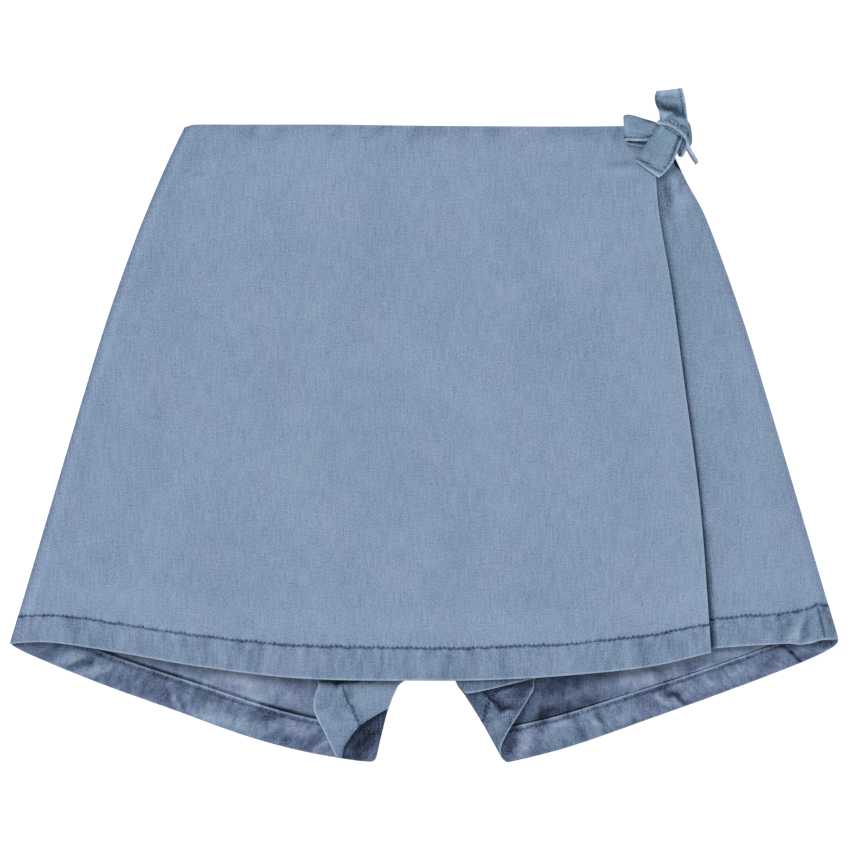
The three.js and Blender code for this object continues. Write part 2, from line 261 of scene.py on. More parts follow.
# %% Shared edges
BOW_PULL = 2.0
CENTRE_GAP = 0.02


def drawn_in(inset, from_y, to_y, y):
    """How far an edge has come in at a height, when all of the inset is reached at to_y."""
    return inset * smooth((y - from_y) / (to_y - from_y))


def side_edge(side, y):
    """The side seam. The bow pulls the right one in a little below the waist."""
    return SIGN[side] * (side_seam[side](y) - (drawn_in(BOW_PULL, 114, 134, y) if side == "right" else 0))


def inner_edge(side, y):
    """The centre seam down to the crotch, then the inside leg."""
    if y < CROTCH_Y:
        return inside_leg[side](y)
    centre = SIGN[side] * CENTRE_GAP
    return lerp(inside_leg[side](CROTCH_Y), centre, smooth((y - CROTCH_Y) / 40))


print("the bow draws the right seam in by", round(drawn_in(BOW_PULL, 114, 134, 125), 2), "mm at 125 mm")

# %% [markdown]
# ## How high each layer lies
#
# Layers of cloth press on each other at the seams and let a little air in between. Every height is worked out
# from the layer below, so no two pieces pass through each other. `drape` adds the slow swells that cloth has
# even when it is smoothed out by hand, and it only ever lifts, which keeps the layers apart.

# %% Thickness and air
CLOTH = 1.0
GAP = 0.3
STEP = CLOTH + GAP
HEM_EXTRA = 0.6
PUFF_LAYER = 0.5
BETWEEN_LEGS_X = 8
FRONT_WRAP_END_X = 155


def side_distance(x, y):
    return x - side_edge("left", y) if x < 0 else side_edge("right", y) - x


def puff(x, y):
    """The share of the air under a layer: none at the side seams and the waist."""
    return smooth(side_distance(x, y) / 70) * smooth((WAIST_Y - y) / 60)


def back_hem_y(x):
    return back_hem["left"](x) if x < BETWEEN_LEGS_X else back_hem["right"](x)


def front_hem_y(x):
    return front_wrap_hem(x) if x < FRONT_WRAP_END_X else under_wrap_hem(x)


print("each layer adds", STEP, "mm, and up to", PUFF_LAYER, "mm of air")

# %% [markdown]
# A wrap's underside is one height in the middle of the panel and another at the seam, where it rolls down to the
# back leg within `roll` millimetres. Where a double hem lies below, the layers above it are lifted too.


# %% Heights of the layers
def on_back(x, y):
    """The top of the back legs, with their gap, where something lies straight on them."""
    return STEP + HEM_EXTRA * (1 - smooth((y - back_hem_y(x) - 22) / 10))


def wrap_underside(layer, roll, side, x, y):
    """The lower side of a wrap that has a number of layers below it and is sewn in at one side."""
    hem_lift = 1 - smooth((y - front_hem_y(x) - 24) / 14)
    full = layer * (STEP + PUFF_LAYER * puff(x, y) + HEM_EXTRA * hem_lift)
    base = on_back(x, y)
    return base + (full - base) * smooth(abs(side_edge(side, y) - x) / roll)


def drape(x, y, seed):
    """Slow swells, from 0 to about 0.6 mm, that run mostly from the waist to the hem."""
    slow = noise.noise(Vector((x / 46, y / 120, seed)))
    quick = noise.noise(Vector((x / 21, y / 50, seed + 5)))
    return max(0.0, 0.3 + 0.55 * slow + 0.2 * quick)


def waist_drop(from_side, drop):
    """The waistband turns down a little where it meets the side seam."""
    return drop * max(0.0, 1 - from_side / 5.5) ** 2


print("front wrap lies", round(wrap_underside(3, 8, "left", 0, 0), 2), "mm above the table in the middle")

# %% [markdown]
# ## Shader maths that reads as maths
#
# Washed denim is one colour that has faded by different amounts in different places. So each material works out one
# number, for the fading of the wash together with the painted light and shade, and a colour ramp turns it into a blue.
# To keep that readable, `Value` wraps a shader socket and lets ordinary signs add the Math nodes. It calls its
# shader's own `node` method for them.


# %% Numbers in a shader
class Value:
    """A shader socket that carries a number."""

    def __init__(self, shader, socket):
        self.shader, self.socket = shader, socket

    def maths(self, operation, *items):
        made = self.shader.node("Math", dict(enumerate(items)), operation=operation)
        return Value(self.shader, made.outputs[0])

    def __add__(self, other):
        return self.maths("ADD", self, other)

    def __sub__(self, other):
        return self.maths("SUBTRACT", self, other)

    def __rsub__(self, other):
        return self.maths("SUBTRACT", other, self)

    def __mul__(self, other):
        return self.maths("MULTIPLY", self, other)

    def __truediv__(self, other):
        return self.maths("DIVIDE", self, other)

    def __neg__(self):
        return self.maths("MULTIPLY", self, -1.0)

    __radd__ = __add__
    __rmul__ = __mul__

    def exp(self):
        return self.maths("EXPONENT", self)

    def sine(self):
        return self.maths("SINE", self)

    def hump(self, width):
        """1 where the value is 0, and close to 0 beyond twice the width."""
        share = self / width
        return (-(share * share)).exp()

    def step(self, low, high):
        """An S from 0 at low to 1 at high."""
        made = self.shader.node(
            "MapRange",
            {"Value": self, "From Min": low, "From Max": high, "To Min": 0.0, "To Max": 1.0},
            interpolation_type="SMOOTHSTEP",
        )
        return Value(self.shader, made.outputs["Result"])


print("a value can be added, subtracted, multiplied and divided, and has a hump and a step")

# %% [markdown]
# `Shader` holds one material. Its `node` method makes any node from a type, its settings and the values or links
# of its sockets. The other methods are what cloth needs again and again: noise with a grain that is longer one
# way than the other, a tint, and the closing surface, which is dull, with a little sheen from the nap.


# %% A material
class Shader:
    """One material, and the one method that makes its nodes."""

    def __init__(self, name):
        self.material = bpy.data.materials.new(name)
        self.material.use_nodes = True
        self.tree = self.material.node_tree
        self.tree.nodes.clear()

    def node(self, kind, values=None, stops=None, **settings):
        made = self.tree.nodes.new("ShaderNode" + kind)
        for key, setting in settings.items():
            setattr(made, key, setting)
        if stops:
            ramp = made.color_ramp
            while len(ramp.elements) < len(stops):
                ramp.elements.new(0.5)
            for element, (place, colour) in zip(ramp.elements, stops):
                element.position, element.color = place, (*colour, 1.0)
        for key, value in (values or {}).items():
            socket = made.inputs[key]
            if isinstance(value, Value):
                self.tree.links.new(value.socket, socket)
            elif isinstance(value, bpy.types.NodeSocket):
                self.tree.links.new(value, socket)
            else:
                socket.default_value = value
        return made

    def pair(self, first, second):
        """Two numbers as a place that a texture can read."""
        return self.node("CombineXYZ", {"X": first, "Y": second}).outputs[0]

    def speckle(self, place, scale, seed, detail=2.0, twist=0.0):
        """Noise from about -1 to 1, with its own grain size along and across the cloth, in marks a metre."""
        moved = self.node("Mapping", {"Vector": place, "Scale": (*scale, 1.0), "Location": (seed, seed, 0.0)})
        grain = {"Vector": moved.outputs[0], "Scale": 1.0, "Detail": detail, "Distortion": twist}
        return (Value(self, self.node("TexNoise", grain).outputs[0]) - 0.5) * 2.6

    def tinted(self, colour, share, low, high):
        """A colour multiplied by a tint that goes from low to high with share."""
        tint = self.node("Mix", {"Factor": share, 6: (*low, 1.0), 7: (*high, 1.0)}, data_type="RGBA")
        mixed = {"Factor": 1.0, 6: colour, 7: tint.outputs[2]}
        return self.node("Mix", mixed, data_type="RGBA", blend_type="MULTIPLY").outputs[2]

    def finish(self, colour, roughness, normal, sheen):
        surface = self.node(
            "BsdfPrincipled",
            {
                "Base Color": colour,
                "Roughness": roughness,
                "Normal": normal,
                "Sheen Weight": sheen,
                "Sheen Roughness": 0.5,
                "Specular IOR Level": 0.25,
            },
        )
        self.node("OutputMaterial", {"Surface": surface.outputs[0]})
        return self.material


print("ways a shader helps:", [name for name in vars(Shader) if not name.startswith("_")])

# %% [markdown]
# ## Washed chambray
#
# The cloth goes from dark blue, where it is not worn, to nearly white on the rubbed edges, and the darkest stage also
# serves for the deepest painted shade. Each ramp gives five stages of that fading. The wrong side is darker, because
# the wash wears it less, and it is also painted darker for the shade inside the leg openings. The tie is a little
# greener.


# %% Stages of fading
def from_screen(*channels):
    """A colour as a screen shows it, from 0 to 255, as the linear numbers that a shader uses."""
    return tuple(((c / 255 + 0.055) / 1.055) ** 2.4 if c > 10 else c / 3295 for c in channels)


OUTSIDE = [
    (0.00, from_screen(20, 26, 42)),
    (0.22, from_screen(68, 86, 117)),
    (0.50, from_screen(138, 160, 188)),
    (0.74, from_screen(172, 191, 212)),
    (1.00, from_screen(214, 225, 234)),
]
INSIDE = [
    (0.00, from_screen(12, 17, 30)),
    (0.22, from_screen(50, 63, 89)),
    (0.50, from_screen(103, 120, 151)),
    (0.74, from_screen(145, 163, 191)),
    (1.00, from_screen(182, 198, 219)),
]
TIE = [
    (0.00, from_screen(18, 24, 40)),
    (0.22, from_screen(58, 78, 104)),
    (0.50, from_screen(129, 154, 179)),
    (0.74, from_screen(166, 188, 208)),
    (1.00, from_screen(188, 207, 226)),
]
HEM_THREAD = (from_screen(66, 86, 118), from_screen(104, 126, 157))
TIE_THREAD = (from_screen(58, 82, 112), from_screen(90, 116, 144))
print("middle of the outside:", [round(c, 3) for c in OUTSIDE[2][1]])

# %% [markdown]
# Chambray has a blue warp and a white weft. The warp threads differ in thickness, which shows as fine upright
# slubs, and the wash leaves slow clouds. These marks follow the UV map "weave", the place on the cut cloth, so
# they lie right on a piece that is turned or rolled. An image could hold them, but noise has no seams or edges.


# %% Threads and clouds
def woven(shader):
    """The grains of the cloth away from its hems, as speckles."""
    weave = shader.node("UVMap", uv_map="weave").outputs[0]
    return {
        "slub": shader.speckle(weave, (1150, 90), 3.0, 3.0),
        "grain": shader.speckle(weave, (1450, 1250), 1.0, 2.0, 0.3),
        "weft": shader.speckle(weave, (110, 1200), 8.0, 2.0),
        "cloud": shader.speckle(weave, (24, 17), 5.0, 4.0, 0.5),
        "patch": shader.speckle(weave, (150, 105), 9.0, 4.0, 0.6),
        "hue": shader.speckle(weave, (31, 27), 21.0, 3.0, 0.5),
    }


print("a slub is about", round(1000 / 90), "mm long and", round(1000 / 1150, 1), "mm wide")

# %% [markdown]
# A hem has its own UV map, "hem": the place along it, and the distance from its folded edge. The stitched line is
# painted dark, for the shade in the puckers of the cloth there, and it wanders a little with each stitch. `band` is 1
# on the double cloth, and `near` is 1 beside the stitches.

# %% Marks of a hem
HEM_PITCH = 2.54
TAPE_PITCH = 1.7
FOLD_BEYOND_SEAM = 1.7


class Hem:
    """Where a place lies on a hem, and the marks that sewing leaves there. Lengths are in millimetres."""

    def __init__(self, shader, seam_depth, pitch, turned_up):
        self.shader = shader
        self.place = shader.node("UVMap", uv_map="hem").outputs[0]
        parts = shader.node("SeparateXYZ", {"Vector": self.place}).outputs
        self.along, self.depth = Value(shader, parts[0]) / MM, Value(shader, parts[1]) / MM
        self.fold = seam_depth + (FOLD_BEYOND_SEAM if turned_up else 0.0)
        self.band = 1.0 - self.depth.step(self.fold - 0.7, self.fold + 0.7)
        self.near = (self.depth - seam_depth + 1.5).hump(5.0)
        self.beside = shader.speckle(self.place, (330, 300), 11.0, 3.0)
        self.puckers = shader.speckle(self.place, (185, 55), 6.0, 3.0, 0.5)
        self.stitches = self.stitch_line(seam_depth, pitch)

    def stitch_line(self, seam_depth, pitch):
        """1 on the line of stitches, broken and bent as thread and cloth do it."""
        ragged = self.shader.speckle(self.place, (420, 30), 2.0, 2.0)
        slow = self.shader.speckle(self.place, (45, 10), 2.5, 2.0)
        beat = (self.along * (2 * math.pi / pitch)).sine()
        from_line = self.depth - seam_depth - ragged * 0.75 - slow * 0.3 - beat * 0.16
        strength = 0.72 + self.shader.speckle(self.place, (300, 25), 7.0, 2.0) * 0.4 + beat * 0.2
        return from_line.hump(0.85) * strength


print("stitches:", HEM_PITCH, "mm apart on the hems and", TAPE_PITCH, "mm on the tie")

# %% [markdown]
# A hem is double cloth, so it washes into streaks. On the right side they run straight up. On the wrong side they
# lean, because the turned-up cloth is a little too short for the curve, and the cloth beyond is mottled as well.
# The turned-up edge is rubbed pale, and the strip beside it is painted dark, for the shadow of the fold.


# %% Washing marks and the painted shadow of the fold
def outer_wash(hem):
    """The streaks of a hem on the right side, and how much lighter or darker they make the cloth."""
    streak = hem.shader.speckle(hem.place, (150, 36), 4.0, 4.0, 0.6)
    return streak, hem.band * (streak * 0.115 + hem.puckers * 0.06)


def inner_wash(hem, patch):
    """The same on the wrong side, with the mottled cloth beyond the hem."""
    lean = hem.shader.pair((hem.along - hem.depth * 0.5) * MM, hem.depth * MM)
    streak = hem.shader.speckle(lean, (125, 66), 4.0, 4.0, 1.4)
    fine = hem.shader.speckle(lean, (430, 230), 14.0, 4.0, 0.9)
    return streak, hem.band * (streak * 0.12 + fine * 0.15) + (1.0 - hem.band) * (patch * 0.10 + fine * 0.08)


def fold_and_shadow(hem, reach):
    """The pale edge of a turned-up hem, and the strip of painted shadow that reaches beyond it."""
    beyond = hem.depth - hem.fold
    pale = (beyond - 0.3).hump(0.45) * (0.29 + hem.beside * 0.14)
    hollow = beyond.step(0.5, 0.85) * (1.0 - beyond.step(0.4 * reach, reach))
    return pale + hollow * (hem.shader.speckle(hem.place, (21, 4), 12.0, 2.0) * 0.3 - 0.46)


print("washing marks:", [made.__name__ for made in (outer_wash, inner_wash, fold_and_shadow)])

# %% [markdown]
# The material adds it all up to one number. The attribute "tone" brings in the painted light and shade, and the fading
# of the wash, that the pieces carry point by point, from their creases and other marks. The same speckles then drive
# the bump, so a dark pucker is also a hollow.


# %% Chambray
def chambray(
    name, stops, seam_depth, stitch, rubbed, rub_width=0.8, band=-0.05, pitch=HEM_PITCH, clouds=0.038, shadow=None
):
    """
    stitch, rubbed and band say how dark or light the stitches, the folded edge and the double cloth are. With a
    shadow it is the inside of a leg, and the shadow says how far the dark strip reaches, in millimetres.
    """
    shader = Shader(name)
    tone = Value(shader, shader.node("Attribute", attribute_name="tone").outputs["Fac"])
    yarn, hem = woven(shader), Hem(shader, seam_depth, pitch, bool(shadow))
    slub, grain, weft, patch = (yarn[key] for key in ("slub", "grain", "weft", "patch"))
    streak, streaks = inner_wash(hem, patch) if shadow else outer_wash(hem)

    fade_and_shade = 0.5 + (slub * 0.085 + grain * 0.2 + weft * 0.035) + yarn["cloud"] * clouds + patch * (clouds * 0.8)
    fade_and_shade = fade_and_shade + streaks + hem.band * band + hem.near * (hem.puckers * 0.08 + hem.beside * 0.07)
    fade_and_shade = fade_and_shade + hem.stitches * stitch + hem.depth.hump(rub_width) * (0.8 + hem.beside * 0.45) * rubbed + tone
    if shadow:
        fade_and_shade = fade_and_shade + fold_and_shadow(hem, shadow)
    colour = shader.node("ValToRGB", {"Fac": fade_and_shade}, stops=stops).outputs[0]
    colour = shader.tinted(colour, yarn["hue"].step(-0.7, 0.7), (0.955, 1.006, 0.985), (1.045, 0.994, 1.015))

    relief = hem.puckers * hem.near * 0.8 + hem.band * streak * 0.5 - hem.stitches * 0.9
    height = slub * 0.12 + weft * 0.06 + grain * 0.16 + patch * 0.14 + relief
    bump = shader.node("Bump", {"Height": height, "Distance": 0.25 * MM, "Strength": 0.6})
    return shader.finish(colour, 0.9, bump.outputs[0], 0.1)


panel_cloth = chambray("chambray panel", OUTSIDE, HEM_DEPTH, -0.36, 0.32, band=-0.065)
inside_cloth = {
    side: chambray(
        f"chambray inside {side}",
        INSIDE,
        HEM_DEPTH - FOLD_BEYOND_SEAM,
        -0.26,
        0.08,
        clouds=0.08,
        band=0.0,
        shadow=reach,
    )
    for side, reach in {"left": 3.3, "right": 1.9}.items()
}
leg_cloth = chambray("chambray leg", OUTSIDE, HEM_DEPTH, -0.3, 0.34, band=-0.02)
tie_cloth = chambray("chambray tie", TIE, 1.7, -0.3, 0.26, rub_width=0.6, band=0.11, pitch=TAPE_PITCH, clouds=0.11)
print("cloths:", [m.name for m in bpy.data.materials if m.name.startswith("chambray")])

# %% [markdown]
# The thread is the cloth's own blue, a little darker, with a fine twist. It reads Object coordinates, because the
# stitches have no UV map and lie at the origin of the skort, as all the pieces do.


# %% Sewing thread
def sewing_thread(name, dark, light):
    shader = Shader(name)
    place = shader.node("TexCoord").outputs["Object"]
    strand = shader.speckle(place, (1400, 1400), 2.0, 2.0)
    shade = shader.node("ValToRGB", {"Fac": strand * 0.4 + 0.5}, stops=[(0.0, dark), (1.0, light)]).outputs[0]
    bump = shader.node("Bump", {"Height": strand, "Distance": 0.1 * MM, "Strength": 0.5})
    return shader.finish(shade, 0.75, bump.outputs[0], 0.1)


hem_thread = sewing_thread("hem thread", *HEM_THREAD)
tie_thread = sewing_thread("tie thread", *TIE_THREAD)
print("threads:", hem_thread.name, "and", tie_thread.name)

# %% [markdown]
# ## A piece of cloth with two faces
#
# A panel is described by its points. Each has an upper side, an underside, its places on the two UV maps, and its
# tone. Most panels lie flat, so for them the upper side is straight above the underside.


# %% One point of cloth
class Spot:
    """One point of a piece of cloth, in millimetres."""

    def __init__(self, upper, lower, weave, hem, tone=0.0):
        self.upper, self.lower = Vector(upper) * MM, Vector(lower) * MM
        self.weave, self.hem, self.tone = [c * MM for c in weave], [c * MM for c in hem], tone


def flat_spot(x, y, top, bottom, hem, tone=0.0):
    return Spot((x, y, top), (x, y, bottom), (x, y), hem, tone)


def closer(share, where, pull=0.75):
    """Shares from 0 to 1 that crowd towards one end, so that a hem or a rolled edge gets more points."""
    return share ** (1 + pull) if where == "start" else 1 - (1 - share) ** (1 + pull)


print("half of the rows lie in the first", round(closer(0.5, "start", 0.35), 2), "of a wrap")

# %% [markdown]
# A finished bmesh becomes an object at the origin that rides on the skort's only body. Where a rim is given, a
# small bevel rounds the sharp edges of the wall, as a folded edge of cloth is round.

# %% From a mesh to a piece
RIM_ANGLE = math.radians(55)


def dress(name, mesh, material, rim=0.0):
    """A finished bmesh as an object that rides on the skort."""
    data = bpy.data.meshes.new(name)
    mesh.to_mesh(data)
    mesh.free()
    data.materials.append(material)
    piece = bpy.data.objects.new(name, data)
    bpy.context.scene.collection.objects.link(piece)
    if rim:
        bevel = piece.modifiers.new("rounded rim", "BEVEL")
        bevel.width, bevel.segments, bevel.limit_method = rim * MM, 2, "ANGLE"
        bevel.angle_limit, bevel.use_clamp_overlap = RIM_ANGLE, True
    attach(piece, "root")
    return piece


print("edges sharper than", round(math.degrees(RIM_ANGLE)), "degrees are rounded")

# %% [markdown]
# A panel starts as a flat grid. `place` is asked where each grid point goes. The grid is laid on the underside,
# extruded once, and the new points are moved to the upper side. That gives a closed wall with an even rim, and
# the underside can stay flat where it rests on a table. Solidify would thicken both sides alike.


# %% Cloth from a grid
def cloth(name, columns, rows, place, material, rim=0.22):
    """A closed sheet. place(u, v) gives the spot of a grid point, for shares from 0 to 1."""
    mesh = bmesh.new()
    bmesh.ops.create_grid(mesh, x_segments=columns, y_segments=rows, size=0.5)
    number = mesh.verts.layers.int.new("number")
    spots = []
    for vert in mesh.verts:
        vert[number] = len(spots)
        spots.append(place(vert.co.x + 0.5, vert.co.y + 0.5))
        vert.co = spots[-1].lower
    raised = bmesh.ops.extrude_face_region(mesh, geom=mesh.faces[:], use_keep_orig=True)["geom"]
    for item in raised:
        if isinstance(item, bmesh.types.BMVert):
            item.co = spots[item[number]].upper
    bmesh.ops.recalc_face_normals(mesh, faces=mesh.faces[:])
    tone = mesh.verts.layers.float.new("tone")
    weave, hem = mesh.loops.layers.uv.new("weave"), mesh.loops.layers.uv.new("hem")
    for vert in mesh.verts:
        vert[tone] = spots[vert[number]].tone
    for face in mesh.faces:
        face.smooth = True
        for loop in face.loops:
            spot = spots[loop.vert[number]]
            loop[weave].uv, loop[hem].uv = spot.weave, spot.hem
    return dress(name, mesh, material, rim)


print("rims are rounded by", cloth.__defaults__[0], "mm")

# %% [markdown]
# ## Stitches
#
# A stitch is a short piece of thread that sinks into the cloth at both ends, so a low ball stretched along the seam is
# enough. The needle wanders a little, and the wash twists each stitch, so they tilt to one side and the other in turn.


# %% Stitches
def sew(name, spots, material, length=1.95, width=0.62, height=0.34):
    """spots holds a place, the direction of the seam and the way up, in millimetres."""
    mesh = bmesh.new()
    for i, (place, ahead, up) in enumerate(spots):
        side = up.cross(ahead).normalized()
        tilt = (0.26 if i % 2 else -0.26) + random.uniform(-0.16, 0.16)
        drift = side * random.uniform(-0.14, 0.14)
        turn = Matrix.Rotation(tilt, 4, up) @ Matrix((ahead.normalized(), side, up)).transposed().to_4x4()
        stretch = Matrix.Diagonal((length / 2 * MM, width / 2 * MM, height / 2 * MM, 1.0))
        ball = Matrix.Translation((Vector(place) + drift) * MM) @ turn @ stretch
        bmesh.ops.create_uvsphere(mesh, u_segments=8, v_segments=4, radius=1.0, matrix=ball)
    for face in mesh.faces:
        face.smooth = True
    print(name, "has", len(spots), "stitches")
    return dress(name, mesh, material)


def hem_stitches(hem, first_x, last_x, depth, height, pitch=HEM_PITCH):
    """Places for a seam that follows a hem across the panel."""
    spots, x = [], first_x
    while x < last_x:
        slope = (hem(x + 2) - hem(x - 2)) / 4
        reach = math.hypot(1, slope)
        y = hem(x) + depth(x) * reach
        spots.append(((x, y, height(x, y) + 0.1), Vector((1, slope, 0)), UP))
        x += pitch / reach
    return spots


print("a stitch has", 8 * 4, "faces")

# %% [markdown]
# ## Creases, one by one
#
# Each crease is a soft ridge or trough at one place, with its direction, length and width. One signed number gives
# both its height and its tone. A ridge fades in the wash and is also painted lighter, as if lit, with a strip of
# painted shade along one side, and a trough is painted dark, as if shaded, with a lighter strip beside it.


# %% Sums of creases
CREASES = "x y turn length width tone"


def crease_sum(creases, x, y):
    """Height in millimetres, and tone, that a table of creases gives at one place. Noise bends them a little."""
    height = tone = 0.0
    bend = noise.noise_vector(Vector((x / 5.5, y / 5.5, 3.3))) * 2.6
    for row in creases:
        dx, dy = x - row["x"] + bend.x, y - row["y"] + bend.y
        if abs(dx) + abs(dy) > 4 * row["length"]:
            continue
        turn = math.radians(row["turn"])
        along = dx * math.cos(turn) + dy * math.sin(turn)
        across = dy * math.cos(turn) - dx * math.sin(turn)
        share = hump(along, row["length"] * 0.6)
        lit, shaded = hump(across, row["width"] * 0.6), hump(across + row["width"] * 1.15, row["width"] * 0.5)
        tone += share * (lit - 0.55 * shaded) * row["tone"]
        height += share * lit * (0.35 if row["tone"] > 0 else -0.3)
    return height, tone


def line_mark(start, end, width, x, y):
    """1 on the straight line from start to end, and close to 0 beyond twice the width."""
    start, along, place = Vector(start), Vector(end) - Vector(start), Vector((x, y))
    share = min(max((place - start).dot(along) / along.length_squared, 0.0), 1.0)
    return hump((place - start - along * share).length, width)


one_crease = table(CREASES, (0, 0, 0, 10, 4, 0.2))
print("a crease of tone 0.2 gives", [round(part, 2) for part in crease_sum(one_crease, 0, 1)], "beside its middle")

# %% [markdown]
# The inside of the legs has the most creases: the turned-up hem was folded and pressed by hand, and it buckles
# where it follows the curve. The rows go roughly from the left side seam to the right one. Noise alone would make
# them too even, so each of the larger ones has its own row.

# %% Creases inside the legs
# Their tones paint the light and shade of the creases, together with their fading in the wash.
inside_creases = table(
    CREASES,
    (-205, -124, 15, 16, 5, -0.10),
    (-192, -126, 18, 13, 4, 0.16),
    (-182.8, -128.5, 27, 15, 4, -0.20),
    (-176.3, -133.3, 21, 16, 4, 0.17),
    (-153.6, -138.5, 20, 20, 8, -0.10),
    (-144, -146, -24, 14, 5, -0.08),
    (-134.6, -146.3, -66, 12, 4, 0.16),
    (-131, -151, -66, 10, 3.5, -0.24),
    (-121.2, -157.4, -22, 14, 4.5, 0.24),
    (-106, -160.8, -20, 24, 6, 0.17),
    (-112, -149, -20, 12, 5, -0.10),
    (-84.5, -157.7, 5, 11, 5.5, -0.22),
    (-70, -163.6, -15, 14, 6, 0.17),
    (-58.6, -169.6, 43, 13, 4, -0.20),
    (-92, -150, 10, 9, 4, 0.10),
    (-99, -137, -12, 20, 5, 0.13),
    (-118, -135, 30, 10, 4, -0.07),
    (-128, -139, -10, 14, 4, 0.06),
    (-72, -147, -12, 16, 6, 0.08),
    (-30, -160, 70, 12, 6, -0.13),
    (-34, -172, 60, 14, 7, -0.22),
    (-26, -173, 80, 10, 4, -0.08),
    (-24, -149, 60, 10, 5, 0.10),
    (47.2, -169, 70, 15, 6, -0.25),
    (55.6, -171, 75, 12, 5, 0.12),
    (68.9, -167.4, 20, 16, 8, 0.11),
    (83, -164, -60, 12, 4, -0.10),
    (89.4, -161.5, -65, 12, 5, 0.14),
    (95.8, -159.6, -65, 12, 3.5, -0.22),
    (110, -157, 22, 16, 6, 0.12),
    (127, -148, -22, 10, 3, 0.06),
    (134.7, -146.3, -24, 15, 3.6, -0.26),
    (139, -149.5, -24, 12, 4, -0.10),
    (148.8, -143.1, 20, 18, 7, 0.13),
    (159, -137, 60, 10, 4, -0.08),
    (170.4, -134.5, 22, 18, 8, 0.15),
    (186.6, -128.3, 60, 10, 5, -0.18),
    (204, -121.5, 15, 8, 4, 0.08),
    (216.8, -118.9, 5, 8, 3, -0.25),
    (76, -141.5, 10, 26, 5, -0.12),
    (66, -156.5, 35, 12, 7, -0.28),
    (60.5, -153.5, 55, 9, 4, 0.08),
    (84, -152, 22, 22, 4, -0.16),
    (113, -137.5, 12, 22, 6, 0.13),
    (126, -134.5, -40, 10, 4, -0.18),
    (131, -140, 24, 16, 3, -0.14),
    (160, -124.5, 5, 20, 3, 0.07),
    (147, -130.6, 20, 15, 2.4, -0.18),
    (149, -126, 15, 14, 4, -0.05),
    (-132, -127, -12, 12, 4, 0.05),
    (113, -157, 22, 12, 5, 0.05),
    (68, -166, 15, 14, 6, -0.10),
)
print(len(inside_creases), "creases inside the legs")

# %% [markdown]
# ## Back legs
#
# The back legs lie on the table, and what shows of them is their wrong side: the cloth inside the leg openings and
# the hem that is turned up on it. Three measures come first. A grid row has to start on the slanted hem, so
# `hem_place` closes in on that place in a few rounds.


# %% Measures on a hem
def hem_place(outer, inner, hem, share):
    """Where a row of the grid starts on the hem, from the share of the way from the outer edge to the inner."""
    x = lerp(outer(SIDE_HEM_Y), inner(SIDE_HEM_Y), share)
    for _ in range(8):
        x = lerp(outer(hem(x)), inner(hem(x)), share)
    return x


def hem_distance(hem, x, y):
    """How far a place is from a hem that runs across, measured square to it."""
    slope = (hem(x + 2) - hem(x - 2)) / 4
    return (y - hem(x)) / math.hypot(1, slope)


def rounded(from_side, radius):
    """How far a round corner lifts the edge at a distance from the side."""
    inward = max(radius - max(from_side, 0.0), 0.0)
    return radius - math.sqrt(radius**2 - inward**2)


print("the crotch is", round(hem_distance(back_hem["right"], 45, CROTCH_Y)), "mm from the right hem")

# %% [markdown]
# The shade inside the legs is painted on: it is deeper towards the middle, under the edge of the wrap, and on the
# right also inside the waist. Near the right leg's outer corner the side seam ends in two short dark lines.

# %% Shade inside the legs
SIDE_SEAM_END = [(193.1, -119.0), (198.4, -122.9), (204.6, -129.4)]


def back_tone(side, x, y, turned, wrinkle):
    """Lighter above 0, from the wash and from painted light, and painted shade below it. turned is 1 on the turned-up
    hem, and wrinkle is the noise there.
    """
    tone = 0.02 * (1 - turned) + 0.07 * wrinkle * turned
    if side == "left":
        tone -= 0.20 * smooth((x + 50) / 8) + 0.05 * hump(x + 142, 14) * turned - 0.05 * hump(x + 105, 12) * turned
        tone -= 0.05 * hump(x + 75, 14) * turned
        tone += (0.07 * smooth((-70 - x) / 60) + 0.18 * hump(x + 98, 18)) * (1 - turned)
        return tone + 0.03 * smooth((-155 - x) / 12)
    tone -= (0.02 + 0.17 * smooth((112 - x) / 45)) * (1 - turned)
    tone -= 0.08 * hump(y - front_hem_y(x), 2.6) * (x < 105)
    tone -= 0.10 * smooth((52 - x) / 8) - 0.16 * smooth((x - 100) / 16) * (1 - turned)
    tone -= 0.45 * smooth((y - 132) / 3) * smooth((x - 114) / 6)
    if x > 185 and y < -110:
        for start, end in zip(SIDE_SEAM_END, SIDE_SEAM_END[1:]):
            tone -= 0.34 * line_mark(start, end, 0.9, x, y)
    return tone


print("tone at the middle of each hem:", [round(back_tone(side, SIGN[side] * 100, -155, 1, 0), 3) for side in SIGN])

# %% [markdown]
# The turn-up is a step in the upper side of the back leg. The cloth has a small lip along it and sinks a little
# beyond it. Under the corner of a front leg all of that is pressed flat, so that the two don't meet.


